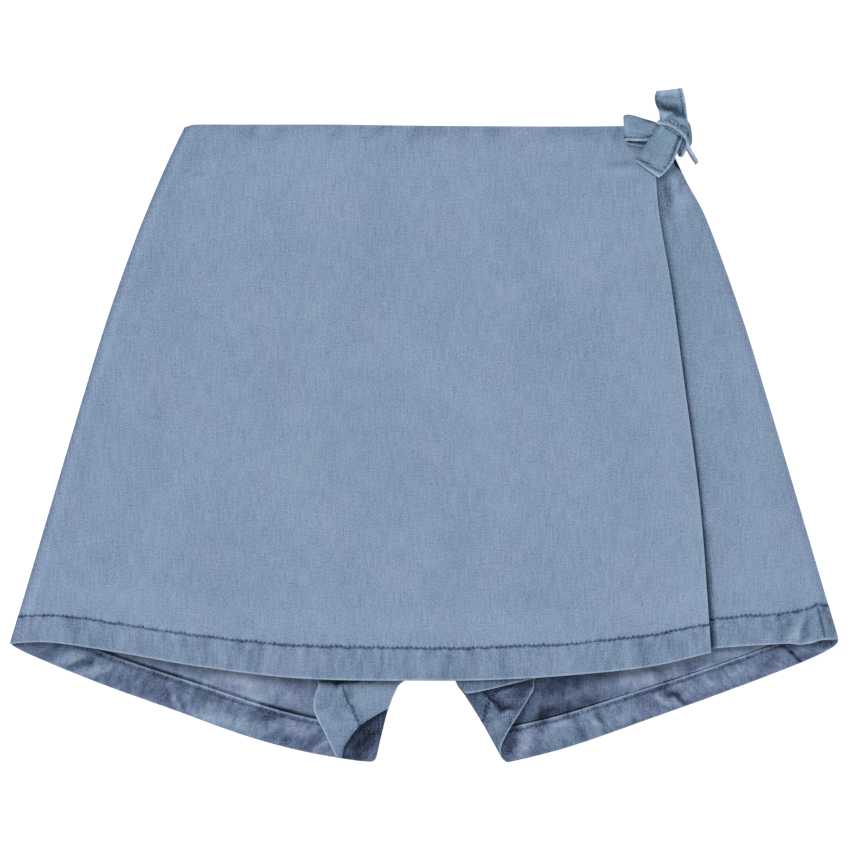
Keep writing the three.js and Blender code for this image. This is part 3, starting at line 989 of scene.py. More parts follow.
# %% Top of a back leg
def back_top(side, x, y):
    """The height, the tone and the distance from the hem at one place of the wrong side."""
    depth = hem_distance(back_hem[side], x, y) * HEM_DEPTH / turn_up[side](x)
    height, crease_tone = crease_sum(inside_creases, x, y) if y < -100 else (0.0, 0.0)
    shows = smooth((-104 - y) / 10)
    turned = 1 - smooth((depth - HEM_DEPTH - 0.1) / 0.7)
    lip = hump(depth - HEM_DEPTH + 0.6, 0.9) * 0.25
    sunk = hump(depth - HEM_DEPTH - 1.6, 1.2) * 0.35
    slant = x + SIGN[side] * 0.5 * depth
    wrinkle = noise.noise(Vector((slant / 6.5, depth / 9, 2.0))) + 0.6 * noise.noise(Vector((slant / 2.8, y / 5, 7.0)))
    under_flap = smooth((x + 64) / 6) * smooth((-16 - x) / 6) + smooth((x - 10) / 8) * smooth((62 - x) / 6)
    relief = (height * 0.9 + wrinkle * (0.4 * turned + 0.12)) * shows * (1 - 0.85 * under_flap)
    edge_shows = shows * (1 - smooth((x + 62) / 6) if side == "left" else 1)
    top = CLOTH + HEM_EXTRA * turned + (lip - sunk) * edge_shows + max(relief, -0.4)
    tone = back_tone(side, x, y, turned, wrinkle) * max(shows, smooth((y - 120) / 4)) + crease_tone
    return top, tone, min(depth, 17.0) if side == "left" and x > -56 else depth


print("a back leg is", [round(back_top("right", 120, y)[0], 2) for y in (-150, -100)], "mm high on and above its hem")

# %% [markdown]
# The grid of a back leg goes from the side seam to the inner edge, and from the hem to the waist. Three quarters of
# its rows lie in the lowest 52 mm, where the wrong side shows. The hem's two corners are rounded.


# %% Back legs
SHOWN_ROWS, SHOWN_HEIGHT = 0.74, 52


def back_leg(side):
    inner_radius, outer_radius = (2.8, 1.6) if side == "left" else (3.4, 2.6)

    def place(u, v):
        u = smooth(u) * 0.5 + u * 0.5
        x = hem_place(lambda y: side_edge(side, y), lambda y: inner_edge(side, y), back_hem[side], u)
        low = back_hem[side](x)
        start = low + rounded((1 - u) * 198, inner_radius) + rounded(u * 198, outer_radius)
        end = waist(x) - 0.8 - waist_drop(u * 128, 1.7)
        if v < SHOWN_ROWS:
            y = lerp(start, low + SHOWN_HEIGHT, v / SHOWN_ROWS)
        else:
            y = lerp(low + SHOWN_HEIGHT, end, (v - SHOWN_ROWS) / (1 - SHOWN_ROWS))
        x = lerp(side_edge(side, y), inner_edge(side, y), u)
        top, tone, depth = back_top(side, x, y)
        return flat_spot(x, y, top, 0.0, (-SIGN[side] * x, depth), tone)

    return cloth(f"back_leg_{side}_cloth", 250, 130, place, inside_cloth[side])


back_legs = {side: back_leg(side) for side in SIGN}
print("back legs:", [len(leg.data.polygons) for leg in back_legs.values()], "faces")

# %% [markdown]
# The hem's stitches follow its upper edge. On the left they stop where the front leg's corner covers the hem, and
# go on beyond it.


# %% Seams of the back legs
def back_leg_seam(side):
    first, last = (-150, -66) if side == "left" else (54, 195)

    def height(x, y):
        return back_top(side, x, y)[0] - 0.05

    def depth(x):
        return turn_up[side](x) * (1 - FOLD_BEYOND_SEAM / HEM_DEPTH)

    spots = hem_stitches(back_hem[side], first, last, depth, height)
    if side == "left":
        spots += hem_stitches(back_hem[side], -44, -23, depth, height)
    return sew(f"back_leg_{side}_stitches", spots, hem_thread, 1.8, 0.42, 0.3)


back_seams = {side: back_leg_seam(side) for side in SIGN}

# %% [markdown]
# ## Front legs
#
# Only the inside-leg corners of the front legs show, below the wraps. The left corner has rolled over a little and
# shows a soft fold on its right, and the right one has a crease across its middle. Their stitched line turns up
# with the hem, so it has its own curve.

# %% Creases and seams of the corners
# Their tones paint the light and shade of the creases.
flap_creases = table(
    CREASES,
    (-47, -139.5, 70, 9, 3, -0.16),
    (-58.5, -141.5, 75, 7, 2.5, -0.15),
    (-36, -138.6, 0, 30, 2.2, -0.22),
    (-51, -153, 60, 10, 4, 0.03),
    (-43, -148, 50, 8, 3, -0.08),
    (-30, -147, 10, 16, 8, 0.05),
    (-38, -161, -55, 10, 4, 0.05),
    (37.5, -149, -50, 8, 2.4, -0.25),
    (44, -152.8, -8, 7, 2.2, -0.22),
    (52, -143.8, 12, 8, 3.2, -0.16),
    (43.5, -148.2, -35, 6, 2.4, 0.07),
    (33, -143, -60, 6, 3.0, -0.10),
    (45, -142, 5, 12, 2.0, -0.12),
    (57, -139.5, 10, 9, 3, -0.12),
    (41, -160, 60, 12, 5, 0.05),
    (48, -163, 62, 12, 3, -0.06),
    (36, -155, -60, 9, 3, 0.05),
)
LIFT = {"left": (-38, -160, 9, 1.2), "right": (50, -157, 9, 2.6)}
flap_seam = {
    "left": french_curve(
        "y x",
        (-166, -33.8), (-159.3, -36.2), (-155, -38.3), (-151.2, -40.2), (-146.9, -42.4), (-136, -45.5),
    ),
    "right": french_curve(
        "y x",
        (-166, 29.5), (-156.6, 32.5), (-151.7, 34.3), (-148, 35.4), (-144.5, 38.6), (-136, 43.0),
    ),
}
print(len(flap_creases), "creases on the two corners")

# %% [markdown]
# Each corner stands a little off the back leg, as a soft bulge. Its creases fade out under the wrap, because the
# wrap presses the cloth flat there.


# %% Shape of the corners
def corner_underside(side, x, y):
    """The lower side of a front leg."""
    lift_x, lift_y, radius, height = LIFT[side]
    bulge = height * math.exp(-((x - lift_x) ** 2 + (y - lift_y) ** 2) / radius**2)
    return on_back(x, y) + PUFF_LAYER * puff(x, y) + bulge


def corner_relief(x, y):
    """The height and the tone that its creases give a corner."""
    height, tone = crease_sum(flap_creases, x, y) if y < -125 else (0.0, 0.0)
    return max(height * smooth((-134 - y) / 5), -0.25) * 0.8, tone


def corner_tone(side, x, y):
    """Lighter and darker tones on a corner, with painted shade under the wrap's hem, beside the seam and along the
    rolled fold.
    """
    tone = -(0.045 if side == "left" else 0.03) - 0.05 * hump(y + 139, 3.5)
    if side == "right":
        tone -= 0.19 * smooth((-134 - y) / 4) + 0.04 * hump(x - 36, 6) * hump(y + 144, 6)
        return tone + 0.06 * smooth((-152 - y) / 14) - 0.04 * hump(y + 150, 8)
    past_seam = x - flap_seam[side](y)
    tone += 0.02 * smooth(past_seam / 3) * smooth((-138 - y) / 3) - 0.07 * hump(past_seam - 2.5, 2.2)
    tone -= 0.20 * hump(y + 138.4, 2.2) * smooth((-30 - x) / 10) * smooth((x + 60) / 6)
    return tone - 0.10 * hump(x - front_leg_fold(y), 1.4) * smooth((-153 - y) / 4)


print("the corners stand up to", [LIFT[side][3] for side in SIGN], "mm off the back legs")

# %% [markdown]
# The hem of a front leg runs down to the inside leg, so the rows of its grid go straight across, from the hem edge
# to the inside leg. Above the hem the same rows run on between the side seam and the centre, up to the waist.

# %% Front legs
FRONT_HEM_ENDS = {"left": (-180.0, -112.0), "right": (-179.0, -111.0)}
FRONT_HEM_ROWS = 0.6


def front_leg(side):
    hem = front_leg_hem[side]
    hem_low, hem_top = FRONT_HEM_ENDS[side]

    def outer(y):
        return hem(y) if y < hem_top else side_edge(side, y) - SIGN[side] * 6

    def inner(y):
        return front_leg_fold(y) if side == "left" and y < FOLD_TOP else inner_edge(side, y)

    def hem_depth(x, y):
        """The distance from the hem edge, stretched so that the stitched line falls on its own curve."""
        slope = (hem(y + 1.5) - hem(y - 1.5)) / 3
        depth = abs(x - hem(y)) / math.hypot(1, slope) if y < hem_top else 60.0
        if y < -136 and depth > 4:
            share = (x - hem(y)) / (flap_seam[side](y) - hem(y))
            depth = lerp(depth, HEM_DEPTH * share, smooth((depth - 4) / 6))
        return depth

    def place(u, v):
        if v < FRONT_HEM_ROWS:
            y = lerp(hem_low, hem_top, v / FRONT_HEM_ROWS)
        else:
            y = lerp(hem_top, waist(SIGN[side] * lerp(128, 0, u)) - 1.6, (v - FRONT_HEM_ROWS) / (1 - FRONT_HEM_ROWS))
        x = lerp(outer(y), inner(y), u)
        low = corner_underside(side, x, y)
        relief, tone = corner_relief(x, y)
        tone += corner_tone(side, x, y)
        return flat_spot(x, y, low + CLOTH + relief, low + 0.1, (y, hem_depth(x, y)), tone)

    return cloth(f"front_leg_{side}_cloth", 90, 110, place, leg_cloth)


front_legs = {side: front_leg(side) for side in SIGN}
print("front legs:", [len(leg.data.polygons) for leg in front_legs.values()], "faces")

# %% [markdown]
# The corners' stitches run nearly straight up the corner, so they are placed by height. They are a little closer
# than on the long hems.

# %% Seams of the corners
SHORT_PITCH = 2.3


def flap_stitches(side):
    spots, y = [], -158.5
    while y < -139.5:
        x, next_x = flap_seam[side](y), flap_seam[side](y + 1)
        height = corner_underside(side, x, y) + CLOTH + corner_relief(x, y)[0] + 0.04
        spots.append(((x, y, height), Vector((next_x - x, 1, 0)), UP))
        y += SHORT_PITCH
    return sew(f"front_leg_{side}_stitches", spots, hem_thread)


flap_seams = {side: flap_stitches(side) for side in SIGN}

# %% [markdown]
# ## The two wraps
#
# The wraps are the large, smooth panels. Each is sewn in at one side, where it rolls down to the back leg, and ends in
# a plain edge that is folded under. Their hems are 14 to 19 mm deep. The stitch line pulls the cloth, so there are
# small puckers along it, and the band below it is slightly rippled.


# %% Relief of a wrap's hem
def hem_relief(depth, x, seed):
    """The step of the double cloth, the furrow of the stitches, and the ripples that they pull up."""
    band = 1 - smooth((depth - HEM_DEPTH + 0.8) / 1.4)
    furrow = -0.22 * hump(depth - HEM_DEPTH, 0.9)
    phase = x * 1.3 + 2.2 * noise.noise(Vector((x / 7, seed, 0)))
    pucker = 0.10 * math.sin(phase) * hump(depth - HEM_DEPTH + 1, 3.2)
    ripple = 0.18 * noise.noise(Vector((x / 8, depth / 26, seed + 3))) * band
    return HEM_EXTRA * band + furrow + pucker + ripple


print("on the stitches the hem is", round(hem_relief(HEM_DEPTH, 0, 1.0), 2), "mm above the single cloth")

# %% [markdown]
# The bow throws a soft shade on the front wrap, which is painted here, and pulls small creases into both wraps. The
# long, faint rows are the slow folds that run from the waist to the hem. They only paint their light and shade on the
# cloth: `drape` gives its height.

# %% Marks on the wraps
wrap_marks = table(
    CREASES,
    (-127, 135.6, 0, 17, 1.0, -0.075),
    (-122, 146, 30, 13, 8.0, -0.045),
    (107, 141.2, 6, 12, 3.6, -0.12),
    (108, 146.0, 12, 10, 3.0, -0.05),
    (104, 157, 85, 9, 3.4, -0.12),
    (101, 148, 75, 10, 4.0, -0.04),
    (117, 131, 20, 12, 2.4, -0.03),
    (-60, 30, 80, 120, 14, 0.012),
    (40, -20, 85, 140, 18, 0.012),
    (-150, -20, 72, 110, 14, -0.012),
    (95, 60, 82, 90, 10, -0.012),
)
under_marks = table(
    CREASES,
    (131.5, 120, 96, 12, 4.5, -0.16),
    (137, 127, 60, 12, 3.4, -0.10),
    (130.5, 129, 95, 9, 4.0, -0.14),
    (141, 117, 75, 12, 3.5, 0.05),
    (136, 104, 80, 10, 4.0, -0.05),
    (147, 98, 95, 16, 6.0, -0.02),
    (200.5, -111.5, 67, 14, 3.0, 0.15),
    (195.5, -107, 60, 11, 4.0, -0.09),
    (205.5, -115, 55, 8, 3.0, -0.08),
    (218, -108, -77, 12, 4.0, -0.05),
    (186, -110, 65, 10, 3.0, -0.05),
    (172, -107, 85, 10, 4.0, 0.03),
    (165, 20, 100, 60, 9.0, -0.018),
    (178, -40, 103, 60, 12.0, 0.02),
)
print(len(wrap_marks), "marks on the front wrap and", len(under_marks), "on the under wrap")

# %% [markdown]
# The front wrap goes from the left side seam to its free edge, which lies on the under wrap and is lifted a little by
# its folded cloth. The grid is finest at the seam and at the hem. The cloth is painted darker where it rolls down to
# the side seam, for the shade there, and it is blotched darker along the waist.

# %% Front wrap
WALL = 0.85


def front_wrap_top(x, y):
    """The height of the upper side, and the distance from the hem."""
    low = wrap_underside(3, 8, "left", x, y)
    depth = hem_distance(front_wrap_hem, x, y) * HEM_DEPTH / front_wrap_depth(x)
    near_bow = smooth(math.hypot(x - 126, y - 152) / 28 - 0.7)
    swell = drape(x, y, 0.5) * smooth(side_distance(x, y) / 12 if x < 0 else 1.0) * near_bow
    edge_lift = 0.5 * hump(x - front_wrap_edge(y), 10) * smooth((118 - y) / 20)
    return low + CLOTH + swell + edge_lift + hem_relief(depth, x, 1.0), depth


def front_wrap():
    def place(u, v):
        u, v = closer(u, "start", 0.3), closer(v, "start", 0.35)
        x = hem_place(lambda y: side_edge("left", y), front_wrap_edge, front_wrap_hem, u)
        y = lerp(front_wrap_hem(x), waist(x) - waist_drop(u * 253, 1.3), v)
        x = lerp(side_edge("left", y), front_wrap_edge(y), u)
        top, depth = front_wrap_top(x, y)
        _, tone = crease_sum(wrap_marks, x, y)
        from_side = x - side_edge("left", y)
        # The free edge is paler, and the cloth beside the side seam is painted darker, for the shade where it rolls
        # down.
        tone += 0.10 * hump(x - front_wrap_edge(y), 0.5) - 0.08 * hump(from_side, 3.0) - 0.03 * hump(from_side, 12)
        waist_blotch = noise.noise(Vector(((x - 0.4 * y) / 9, y / 9, 5))) + 0.35
        tone -= 0.10 * max(0.0, waist_blotch) * smooth((y - WAIST_Y + 13) / 9) + 0.02 * smooth((y - WAIST_Y + 5) / 2)
        return flat_spot(x, y, top, top - WALL, (x, depth), tone)

    return cloth("front_wrap_cloth", 225, 190, place, panel_cloth)


front_panel = front_wrap()
print("front wrap:", len(front_panel.data.polygons), "faces")

# %% [markdown]
# The under wrap shows on the right of that edge. It swells a little there and is flat below the front wrap, so that
# the two don't meet. The front wrap throws a thin shade on it, which opens to a wedge towards the hem. Its lower
# corner is held to the side by a short upright tack.

# %% Under wrap
TACK = ((212.5, -99.4), (216.0, -114.6))


def under_wrap_top(x, y):
    """The height of the upper side, and the distance from the hem."""
    low = wrap_underside(2, 5, "right", x, y)
    depth = hem_distance(under_wrap_hem, x, y) * HEM_DEPTH / under_wrap_depth(x)
    open_air = smooth((x - front_wrap_edge(y) - 5) / 14)
    swell = drape(x, y, 3.5) * open_air * smooth(side_distance(x, y) / 12) * smooth((130 - y) / 12)
    band = 1 - smooth((depth - HEM_DEPTH + 0.8) / 1.4)
    relief = lerp(HEM_EXTRA * band * 0.9, hem_relief(depth, x, 4.0), open_air)
    return low + CLOTH + swell + relief, depth


def under_wrap_shade(x, y, outer_x):
    """The shade that the front wrap, the tack and the side seam give the under wrap."""
    from_edge = x - front_wrap_edge(y)
    shade = 0.20 * line_mark(*TACK, 0.7, x, y) + 0.04 * hump(x - outer_x, 3.0)
    shade += 0.10 * (x < 66) * smooth((y + 146.5) / 5)
    if from_edge > -4:
        corner_open = smooth((-45 - y) / 40)
        line = 0.10 * smooth((100 - y) / 50) * (1 - 0.7 * corner_open)
        shade += 0.15 * hump(from_edge - 0.8, 2.0) + 0.03 * hump(from_edge, 9) + line * hump(from_edge - 0.6, 1.1)
        shade += 0.11 * corner_open * smooth((4.4 - from_edge) / 1.8)
    return shade


def under_wrap():
    def outer(y):
        return side_edge("right", y) - drawn_in(2.3, 135.5, 140, y)

    def place(u, v):
        u, v = closer(u, "end", 0.6), closer(v, "start", 0.4)
        x = hem_place(under_wrap_edge, outer, under_wrap_hem, u)
        corner = 3.6 * (1 - smooth(u * 206 / 6.5)) ** 2
        y = lerp(under_wrap_hem(x) + corner, waist(x) - 0.8, v)
        x = lerp(under_wrap_edge(y), outer(y), u)
        top, depth = under_wrap_top(x, y)
        tone = crease_sum(under_marks, x, y)[1] if x > 110 else 0.0
        tone -= under_wrap_shade(x, y, outer(y)) + 0.012 - 0.10 * hump(x - under_wrap_edge(y), 0.8)
        return flat_spot(x, y, top, top - WALL, (x, depth), tone)

    return cloth("under_wrap_cloth", 220, 165, place, panel_cloth)


wraps = {"front": front_panel, "under": under_wrap()}
print("under wrap:", len(wraps["under"].data.polygons), "faces")

# %% [markdown]
# The wraps' hems are sewn in one go across each panel. The tack has its own short row of stitches.


# %% Seams of the wraps
def tack():
    """The short upright seam that holds the corner of the under wrap to the side."""
    start, along = Vector(TACK[0]), Vector(TACK[1]) - Vector(TACK[0])
    spots, run = [], 0.0
    while run < along.length:
        x, y = start + along.normalized() * run
        spots.append(((x, y, under_wrap_top(x, y)[0] + 0.06), along.to_3d(), UP))
        run += SHORT_PITCH
    return spots


def under_height(x, y):
    return under_wrap_top(x, y)[0]


def front_height(x, y):
    return front_wrap_top(x, y)[0]


hem_spots = hem_stitches(front_wrap_hem, -217, 153, front_wrap_depth, front_height)
wrap_seams = {"front": sew("front_wrap_stitches", hem_spots, hem_thread)}
hem_spots = hem_stitches(under_wrap_hem, 156, 218, under_wrap_depth, under_height) + tack()
wrap_seams["under"] = sew("under_wrap_stitches", hem_spots, hem_thread)

# %% [markdown]
# ## The bow
#
# The bow is one narrow tape, folded lengthwise and stitched near its edges, tied so that two loops and two ends
# stand out of the knot. Each part is a strip of cloth given by the places of its left and right edge, row by
# row. A smooth curve runs through the rows, and the thickness goes square to the strip. The two long edges are a
# little thicker than the middle, because that is where the cloth is folded in and sewn.


# %% A strip of tape
class Tape:
    """
    Rows hold the left edge x y z and the right edge x y z. sewn is 0 for the left edge and 1 for the right. crown is
    how far the middle bulges. lines are straight marks of painted light or shade: start, end, width, tone, and the
    first and last share of the tape's length that they are on.
    """

    near = 0.004

    def __init__(self, name, rows, sewn, hemmed_end=False, thick=1.3, tones=(), lines=(), wrinkle=0.15, crown=0.0):
        self.seed, self.sewn, self.hemmed_end, self.thick = len(name), sewn, hemmed_end, thick
        self.tones, self.lines, self.wrinkle, self.crown = tones, lines, wrinkle, crown
        at = [{"row": i, **dict(zip("abcdef", row))} for i, row in enumerate(rows)]
        self.last_row, self.paths = len(rows) - 1, [curve(at, "row", letter) for letter in "abcdef"]
        middle = [self.skin(0.5, i / 60)[0] for i in range(61)]
        self.length = sum((after - before).length for before, after in zip(middle, middle[1:]))

    def skin(self, u, v):
        """A place in the middle of the cloth, and the width there. u goes across and v along, from 0 to 1."""
        values = [path(v * self.last_row) for path in self.paths]
        left, right = Vector(values[:3]), Vector(values[3:])
        if self.hemmed_end:
            u = 0.5 + (u - 0.5) * (1 - 0.06 * smooth((v - 0.9) / 0.1) ** 3)
        return left.lerp(right, u), (right - left).length

    def ways(self, u, v):
        """The directions across the tape, along it, and out of the cloth."""
        across = self.skin(min(u + self.near, 1), v)[0] - self.skin(max(u - self.near, 0), v)[0]
        along = self.skin(u, min(v + self.near, 1))[0] - self.skin(u, max(v - self.near, 0))[0]
        return across, along, along.cross(across).normalized()

    def tone(self, v, place):
        """Painted light and shade put on the tape, from its creases and its lines."""
        tone = crease_sum(self.tones, place.x, place.y)[1] if self.tones else 0.0
        for start, end, width, mark, first, last in self.lines:
            if first <= v <= last:
                tone += mark * line_mark(start, end, width, place.x, place.y)
        return tone

    def place(self, u, v):
        """The spot that `cloth` asks for."""
        centre, width = self.skin(u, v)
        out = self.ways(u, v)[2]
        depth = abs(self.sewn - u) * width
        if self.hemmed_end:
            depth = min(depth, (1 - v) * self.length)
        folded = abs(1 - self.sewn - u) * width
        half = self.thick / 2 * (0.8 + 0.3 * hump(depth - 0.6, 0.7) + 0.12 * hump(folded - 0.8, 1.0))
        half -= 0.16 * hump(depth - 2.0, 0.5)
        ripple = self.wrinkle * noise.noise(Vector((u * 4, v * self.length / 4.5, self.seed))) * smooth(depth / 2)
        centre = centre + out * (self.crown * math.sin(math.pi * u) * math.sin(math.pi * v))
        # The folded edge is painted a little darker, for the shade where the cloth rolls round.
        tone = self.tone(v, centre) - 0.07 * hump(folded, 1.2)
        weave = (u * width + 31 * self.seed, v * self.length + 17 * self.seed)
        hem = (v * self.length + u * 3, depth)
        return Spot(centre + out * (half + ripple), centre - out * half, weave, hem, tone)


test_strip = Tape("test", [(0, 0, 0, 10, 0, 0), (0, 10, 0, 10, 10, 0), (0, 20, 0, 10, 20, 0)], sewn=0)
print("a straight test strip is", round(test_strip.length, 1), "mm long")

# %% [markdown]
# The tape is sewn 2 mm from its open edge, and across its end where that is hemmed. Its stitches are shorter and
# closer than those of the hems. They lie on the strip's own surface, so they turn over with it.

# %% Make a tape
TAPE_SEAM = 2.0


def tape_seam(strip):
    """Places for the stitches of a strip."""

    def stitch(u, v, way):
        ways = strip.ways(u, v)
        return strip.skin(u, v)[0] + ways[2] * (strip.thick / 2 - 0.1), ways[way], ways[2]

    spots, run = [], 1.0
    while run < strip.length - (2.4 if strip.hemmed_end else 1.0):
        v = run / strip.length
        width = strip.skin(0.5, v)[1]
        spots.append(stitch(abs(strip.sewn - TAPE_SEAM / width), v, 1))
        run += TAPE_PITCH
    run = TAPE_SEAM
    while strip.hemmed_end and run < width - 1.5:
        spots.append(stitch(abs(strip.sewn - run / width), 1 - TAPE_SEAM / strip.length, 0))
        run += TAPE_PITCH
    return spots


def tape(name, columns, rows, **shape):
    """A strip and its stitches as objects, and the strip's length."""
    strip = Tape(name, rows, **shape)
    made = cloth(name, columns, max(12, int(strip.length * 1.6)), strip.place, tie_cloth, rim=0.18)
    stitches = sew(name.replace("_cloth", "") + "_stitches", tape_seam(strip), tie_thread, 1.15, 0.34, 0.22)
    print(name, "is", round(strip.length, 1), "mm long")
    return made, stitches, strip.length


print("the tape is sewn", TAPE_SEAM, "mm from its edge")

# %% [markdown]
# ## The loops
#
# A loop leaves the knot, goes out, turns over, and comes back on top of itself. The left loop lies over the waist and
# shows the two sewn edges of its opening with the dark hollow between them. Its tones and lines paint light on the
# lower edge, which lies in the shade of the upper layer, and more shade in the hollow.

# %% Left loop
left_tones = table(
    CREASES,
    (115, 150.9, 1, 20, 1.3, 0.42),
    (115, 152.0, 1, 12, 1.0, 0.16),
    (117, 156.2, 0, 20, 1.2, -0.10),
    (122, 163, -20, 10, 2.0, -0.12),
    (112, 163, 10, 12, 5.0, -0.04),
    (124, 158, 80, 10, 2.5, -0.10),
    (108.6, 160, 90, 9, 1.2, 0.06),
)
left_loop, left_seam, left_length = tape(
    "tie_loop_left_cloth",
    24,
    [
        (126.3, 154.6, 5.9, 126.4, 161.8, 6.2),
        (121.0, 150.0, 5.7, 121.2, 164.2, 6.2),
        (114.5, 150.5, 5.7, 114.3, 165.8, 6.2),
        (110.2, 151.4, 6.4, 109.8, 166.4, 6.9),
        (107.9, 152.6, 8.2, 107.6, 166.4, 8.8),
        (109.4, 152.9, 10.5, 109.3, 167.0, 10.8),
        (113.6, 152.7, 11.2, 113.6, 166.1, 11.1),
        (118.4, 152.8, 9.9, 118.6, 164.7, 9.9),
        (122.0, 153.4, 8.4, 122.6, 163.7, 8.6),
        (127.5, 155.2, 7.8, 127.9, 162.0, 8.4),
    ],
    sewn=0,
    tones=left_tones,
    lines=[
        ((107.0, 151.6), (123.0, 150.2), 0.7, 0.34, 0.0, 0.45),
        ((109.5, 152.6), (123.0, 151.9), 0.7, -0.30, 0.0, 0.42),
    ],
)
print("left loop:", len(left_loop.data.polygons), "faces")

# %% [markdown]
# The upper loop stands out past the waist, so its near layer bulges and catches the light at the top, where its tones
# paint it lighter as well. Two creases of painted shade cross it where the knot pinches it.

# %% Upper loop
upper_tones = table(
    CREASES,
    (134, 179.6, 3, 14, 2.4, 0.07),
    (130, 176.4, -4, 9, 1.8, -0.06),
    (128.8, 171.2, -18, 11, 4.4, -0.27),
    (135.2, 168.6, -25, 9, 4.4, -0.22),
    (127.0, 178.2, 20, 8, 3.0, 0.06),
    (128.6, 166.4, -40, 7, 2.4, 0.10),
    (125.0, 176.0, 84, 9, 1.6, -0.10),
    (134.5, 164.8, -5, 10, 1.4, -0.10),
)
upper_loop, upper_seam, upper_length = tape(
    "tie_loop_upper_cloth",
    24,
    [
        (127.0, 163.9, 6.2, 141.0, 162.9, 6.2),
        (126.8, 169.0, 5.6, 141.0, 168.4, 5.6),
        (124.9, 173.6, 4.2, 140.4, 173.8, 4.0),
        (124.6, 177.6, 3.7, 139.5, 179.0, 3.6),
        (125.4, 179.5, 5.4, 139.0, 181.2, 5.4),
        (124.7, 179.0, 9.2, 139.1, 180.5, 9.2),
        (123.7, 176.5, 11.2, 139.6, 177.5, 11.2),
        (124.2, 172.8, 11.4, 140.4, 173.0, 11.3),
        (126.0, 169.4, 9.4, 141.0, 169.4, 9.4),
        (126.5, 166.5, 9.6, 141.4, 166.3, 9.4),
        (126.6, 163.8, 9.8, 141.7, 163.0, 9.4),
    ],
    sewn=1,
    tones=upper_tones,
)

print("upper loop:", len(upper_loop.data.polygons), "faces")

# %% [markdown]
# ## The ends
#
# The front end hangs across the wrap with its stitched hem towards you, square and flat. The knot's shade is painted
# on its upper end, along two short lines and a dark crease.

# %% Front end
front_tail_tones = table(
    CREASES,
    (132.4, 160.3, -33, 13, 0.9, -0.30),
    (125.5, 160.5, 60, 5, 2.2, -0.10),
    (129, 150, 58, 22, 5.0, 0.02),
    (121, 143, 20, 12, 4.0, -0.03),
    (135, 149.5, 60, 14, 2.0, -0.08),
)
front_tail, front_tail_seam, front_tail_length = tape(
    "tie_tail_front_cloth",
    26,
    [
        (128.6, 163.4, 9.0, 140.6, 156.2, 9.0),
        (126.2, 161.4, 9.9, 138.9, 154.4, 9.8),
        (122.9, 156.4, 10.2, 137.2, 149.8, 10.0),
        (119.2, 151.2, 10.0, 135.3, 145.0, 9.6),
        (116.1, 146.9, 8.5, 133.0, 140.0, 8.0),
        (113.3, 142.7, 6.5, 126.8, 133.0, 6.4),
    ],
    sewn=1,
    hemmed_end=True,
    tones=front_tail_tones,
    lines=[
        ((129.6, 160.0), (134.6, 157.6), 0.8, -0.30, 0.0, 0.5),
        ((134.6, 157.6), (139.6, 152.4), 0.8, -0.30, 0.0, 0.5),
    ],
    thick=1.5,
)
print("front end:", len(front_tail.data.polygons), "faces")

# %% [markdown]
# The back end stands on its edge beside the side seam, so from above it is only a narrow strip. Each row goes down
# from its left edge to its right one.

# %% Back end
back_tail, back_tail_seam, back_tail_length = tape(
    "tie_tail_back_cloth",
    20,
    [
        (141.2, 154.5, 8.6, 142.4, 154.8, 3.0),
        (141.7, 150.6, 11.6, 142.2, 150.8, 2.4),
        (143.0, 146.9, 13.6, 143.3, 147.0, 2.2),
        (144.9, 143.8, 13.8, 145.2, 143.7, 2.6),
        (146.5, 141.2, 13.2, 147.1, 140.9, 3.4),
    ],
    sewn=0,
    hemmed_end=True,
    thick=1.5,
    wrinkle=0.5,
)

print("back end:", len(back_tail.data.polygons), "faces")

# %% [markdown]
# ## The knot
#
# From outside, a knot in tape is one short turn of the tape wrapped over everything else. It lies on the slant,
# dips under the end that comes out of it, and bulges in the middle.

# %% Turn of the knot
# Its tones paint the light and shade of the creases in the turn.
knot_tones = table(
    CREASES,
    (133.5, 164.0, -15, 10, 1.2, -0.16),
    (137.5, 161.0, -40, 10, 1.2, -0.12),
    (141.0, 156.0, -60, 8, 1.4, -0.14),
    (139.5, 162.5, -35, 8, 2.2, 0.05),
    (142.6, 158.0, 80, 10, 1.2, -0.10),
)
knot_turn, knot_seam, knot_length = tape(
    "tie_knot_turn",
    22,
    [
        (124.8, 162.2, 10.4, 125.8, 163.6, 8.8),
        (127.4, 161.4, 11.4, 129.0, 164.4, 9.8),
        (131.4, 160.5, 12.2, 133.6, 165.5, 10.8),
        (135.3, 158.3, 12.6, 139.4, 165.0, 10.0),
        (138.6, 155.4, 12.4, 142.7, 161.8, 9.2),
        (140.7, 152.6, 11.8, 143.4, 157.2, 8.4),
        (141.5, 149.9, 10.6, 143.0, 153.2, 7.6),
        (141.0, 147.4, 8.2, 142.3, 149.4, 6.2),
    ],
    sewn=0,
    tones=knot_tones,
    thick=0.9,
    wrinkle=0.5,
    crown=2.2,
)
print("turn of the knot:", len(knot_turn.data.polygons), "faces")

# %% [markdown]
# A small fold of the tape shows below the turn, beside the front end. It lies lower than both.

# %% Fold below the knot
# Its tones paint the light and shade of its creases.
knot_fold_tones = table(
    CREASES,
    (137.6, 150, 75, 9, 1.4, -0.14),
    (139.5, 146.5, 0, 5, 1.2, 0.10),
    (139.8, 150.5, 80, 12, 4.0, 0.13),
)
knot_end, knot_end_seam, _ = tape(
    "tie_knot_fold",
    14,
    [
        (137.6, 158.0, 7.6, 143.2, 157.4, 7.0),
        (136.8, 153.6, 7.3, 142.8, 153.4, 7.2),
        (136.2, 150.0, 7.2, 141.9, 150.2, 7.4),
        (136.1, 147.2, 7.0, 140.6, 147.4, 7.2),
        (137.2, 144.9, 5.9, 139.3, 144.8, 6.0),
    ],
    sewn=1,
    tones=knot_fold_tones,
    thick=1.3,
)
print("fold:", len(knot_end.data.polygons), "faces")

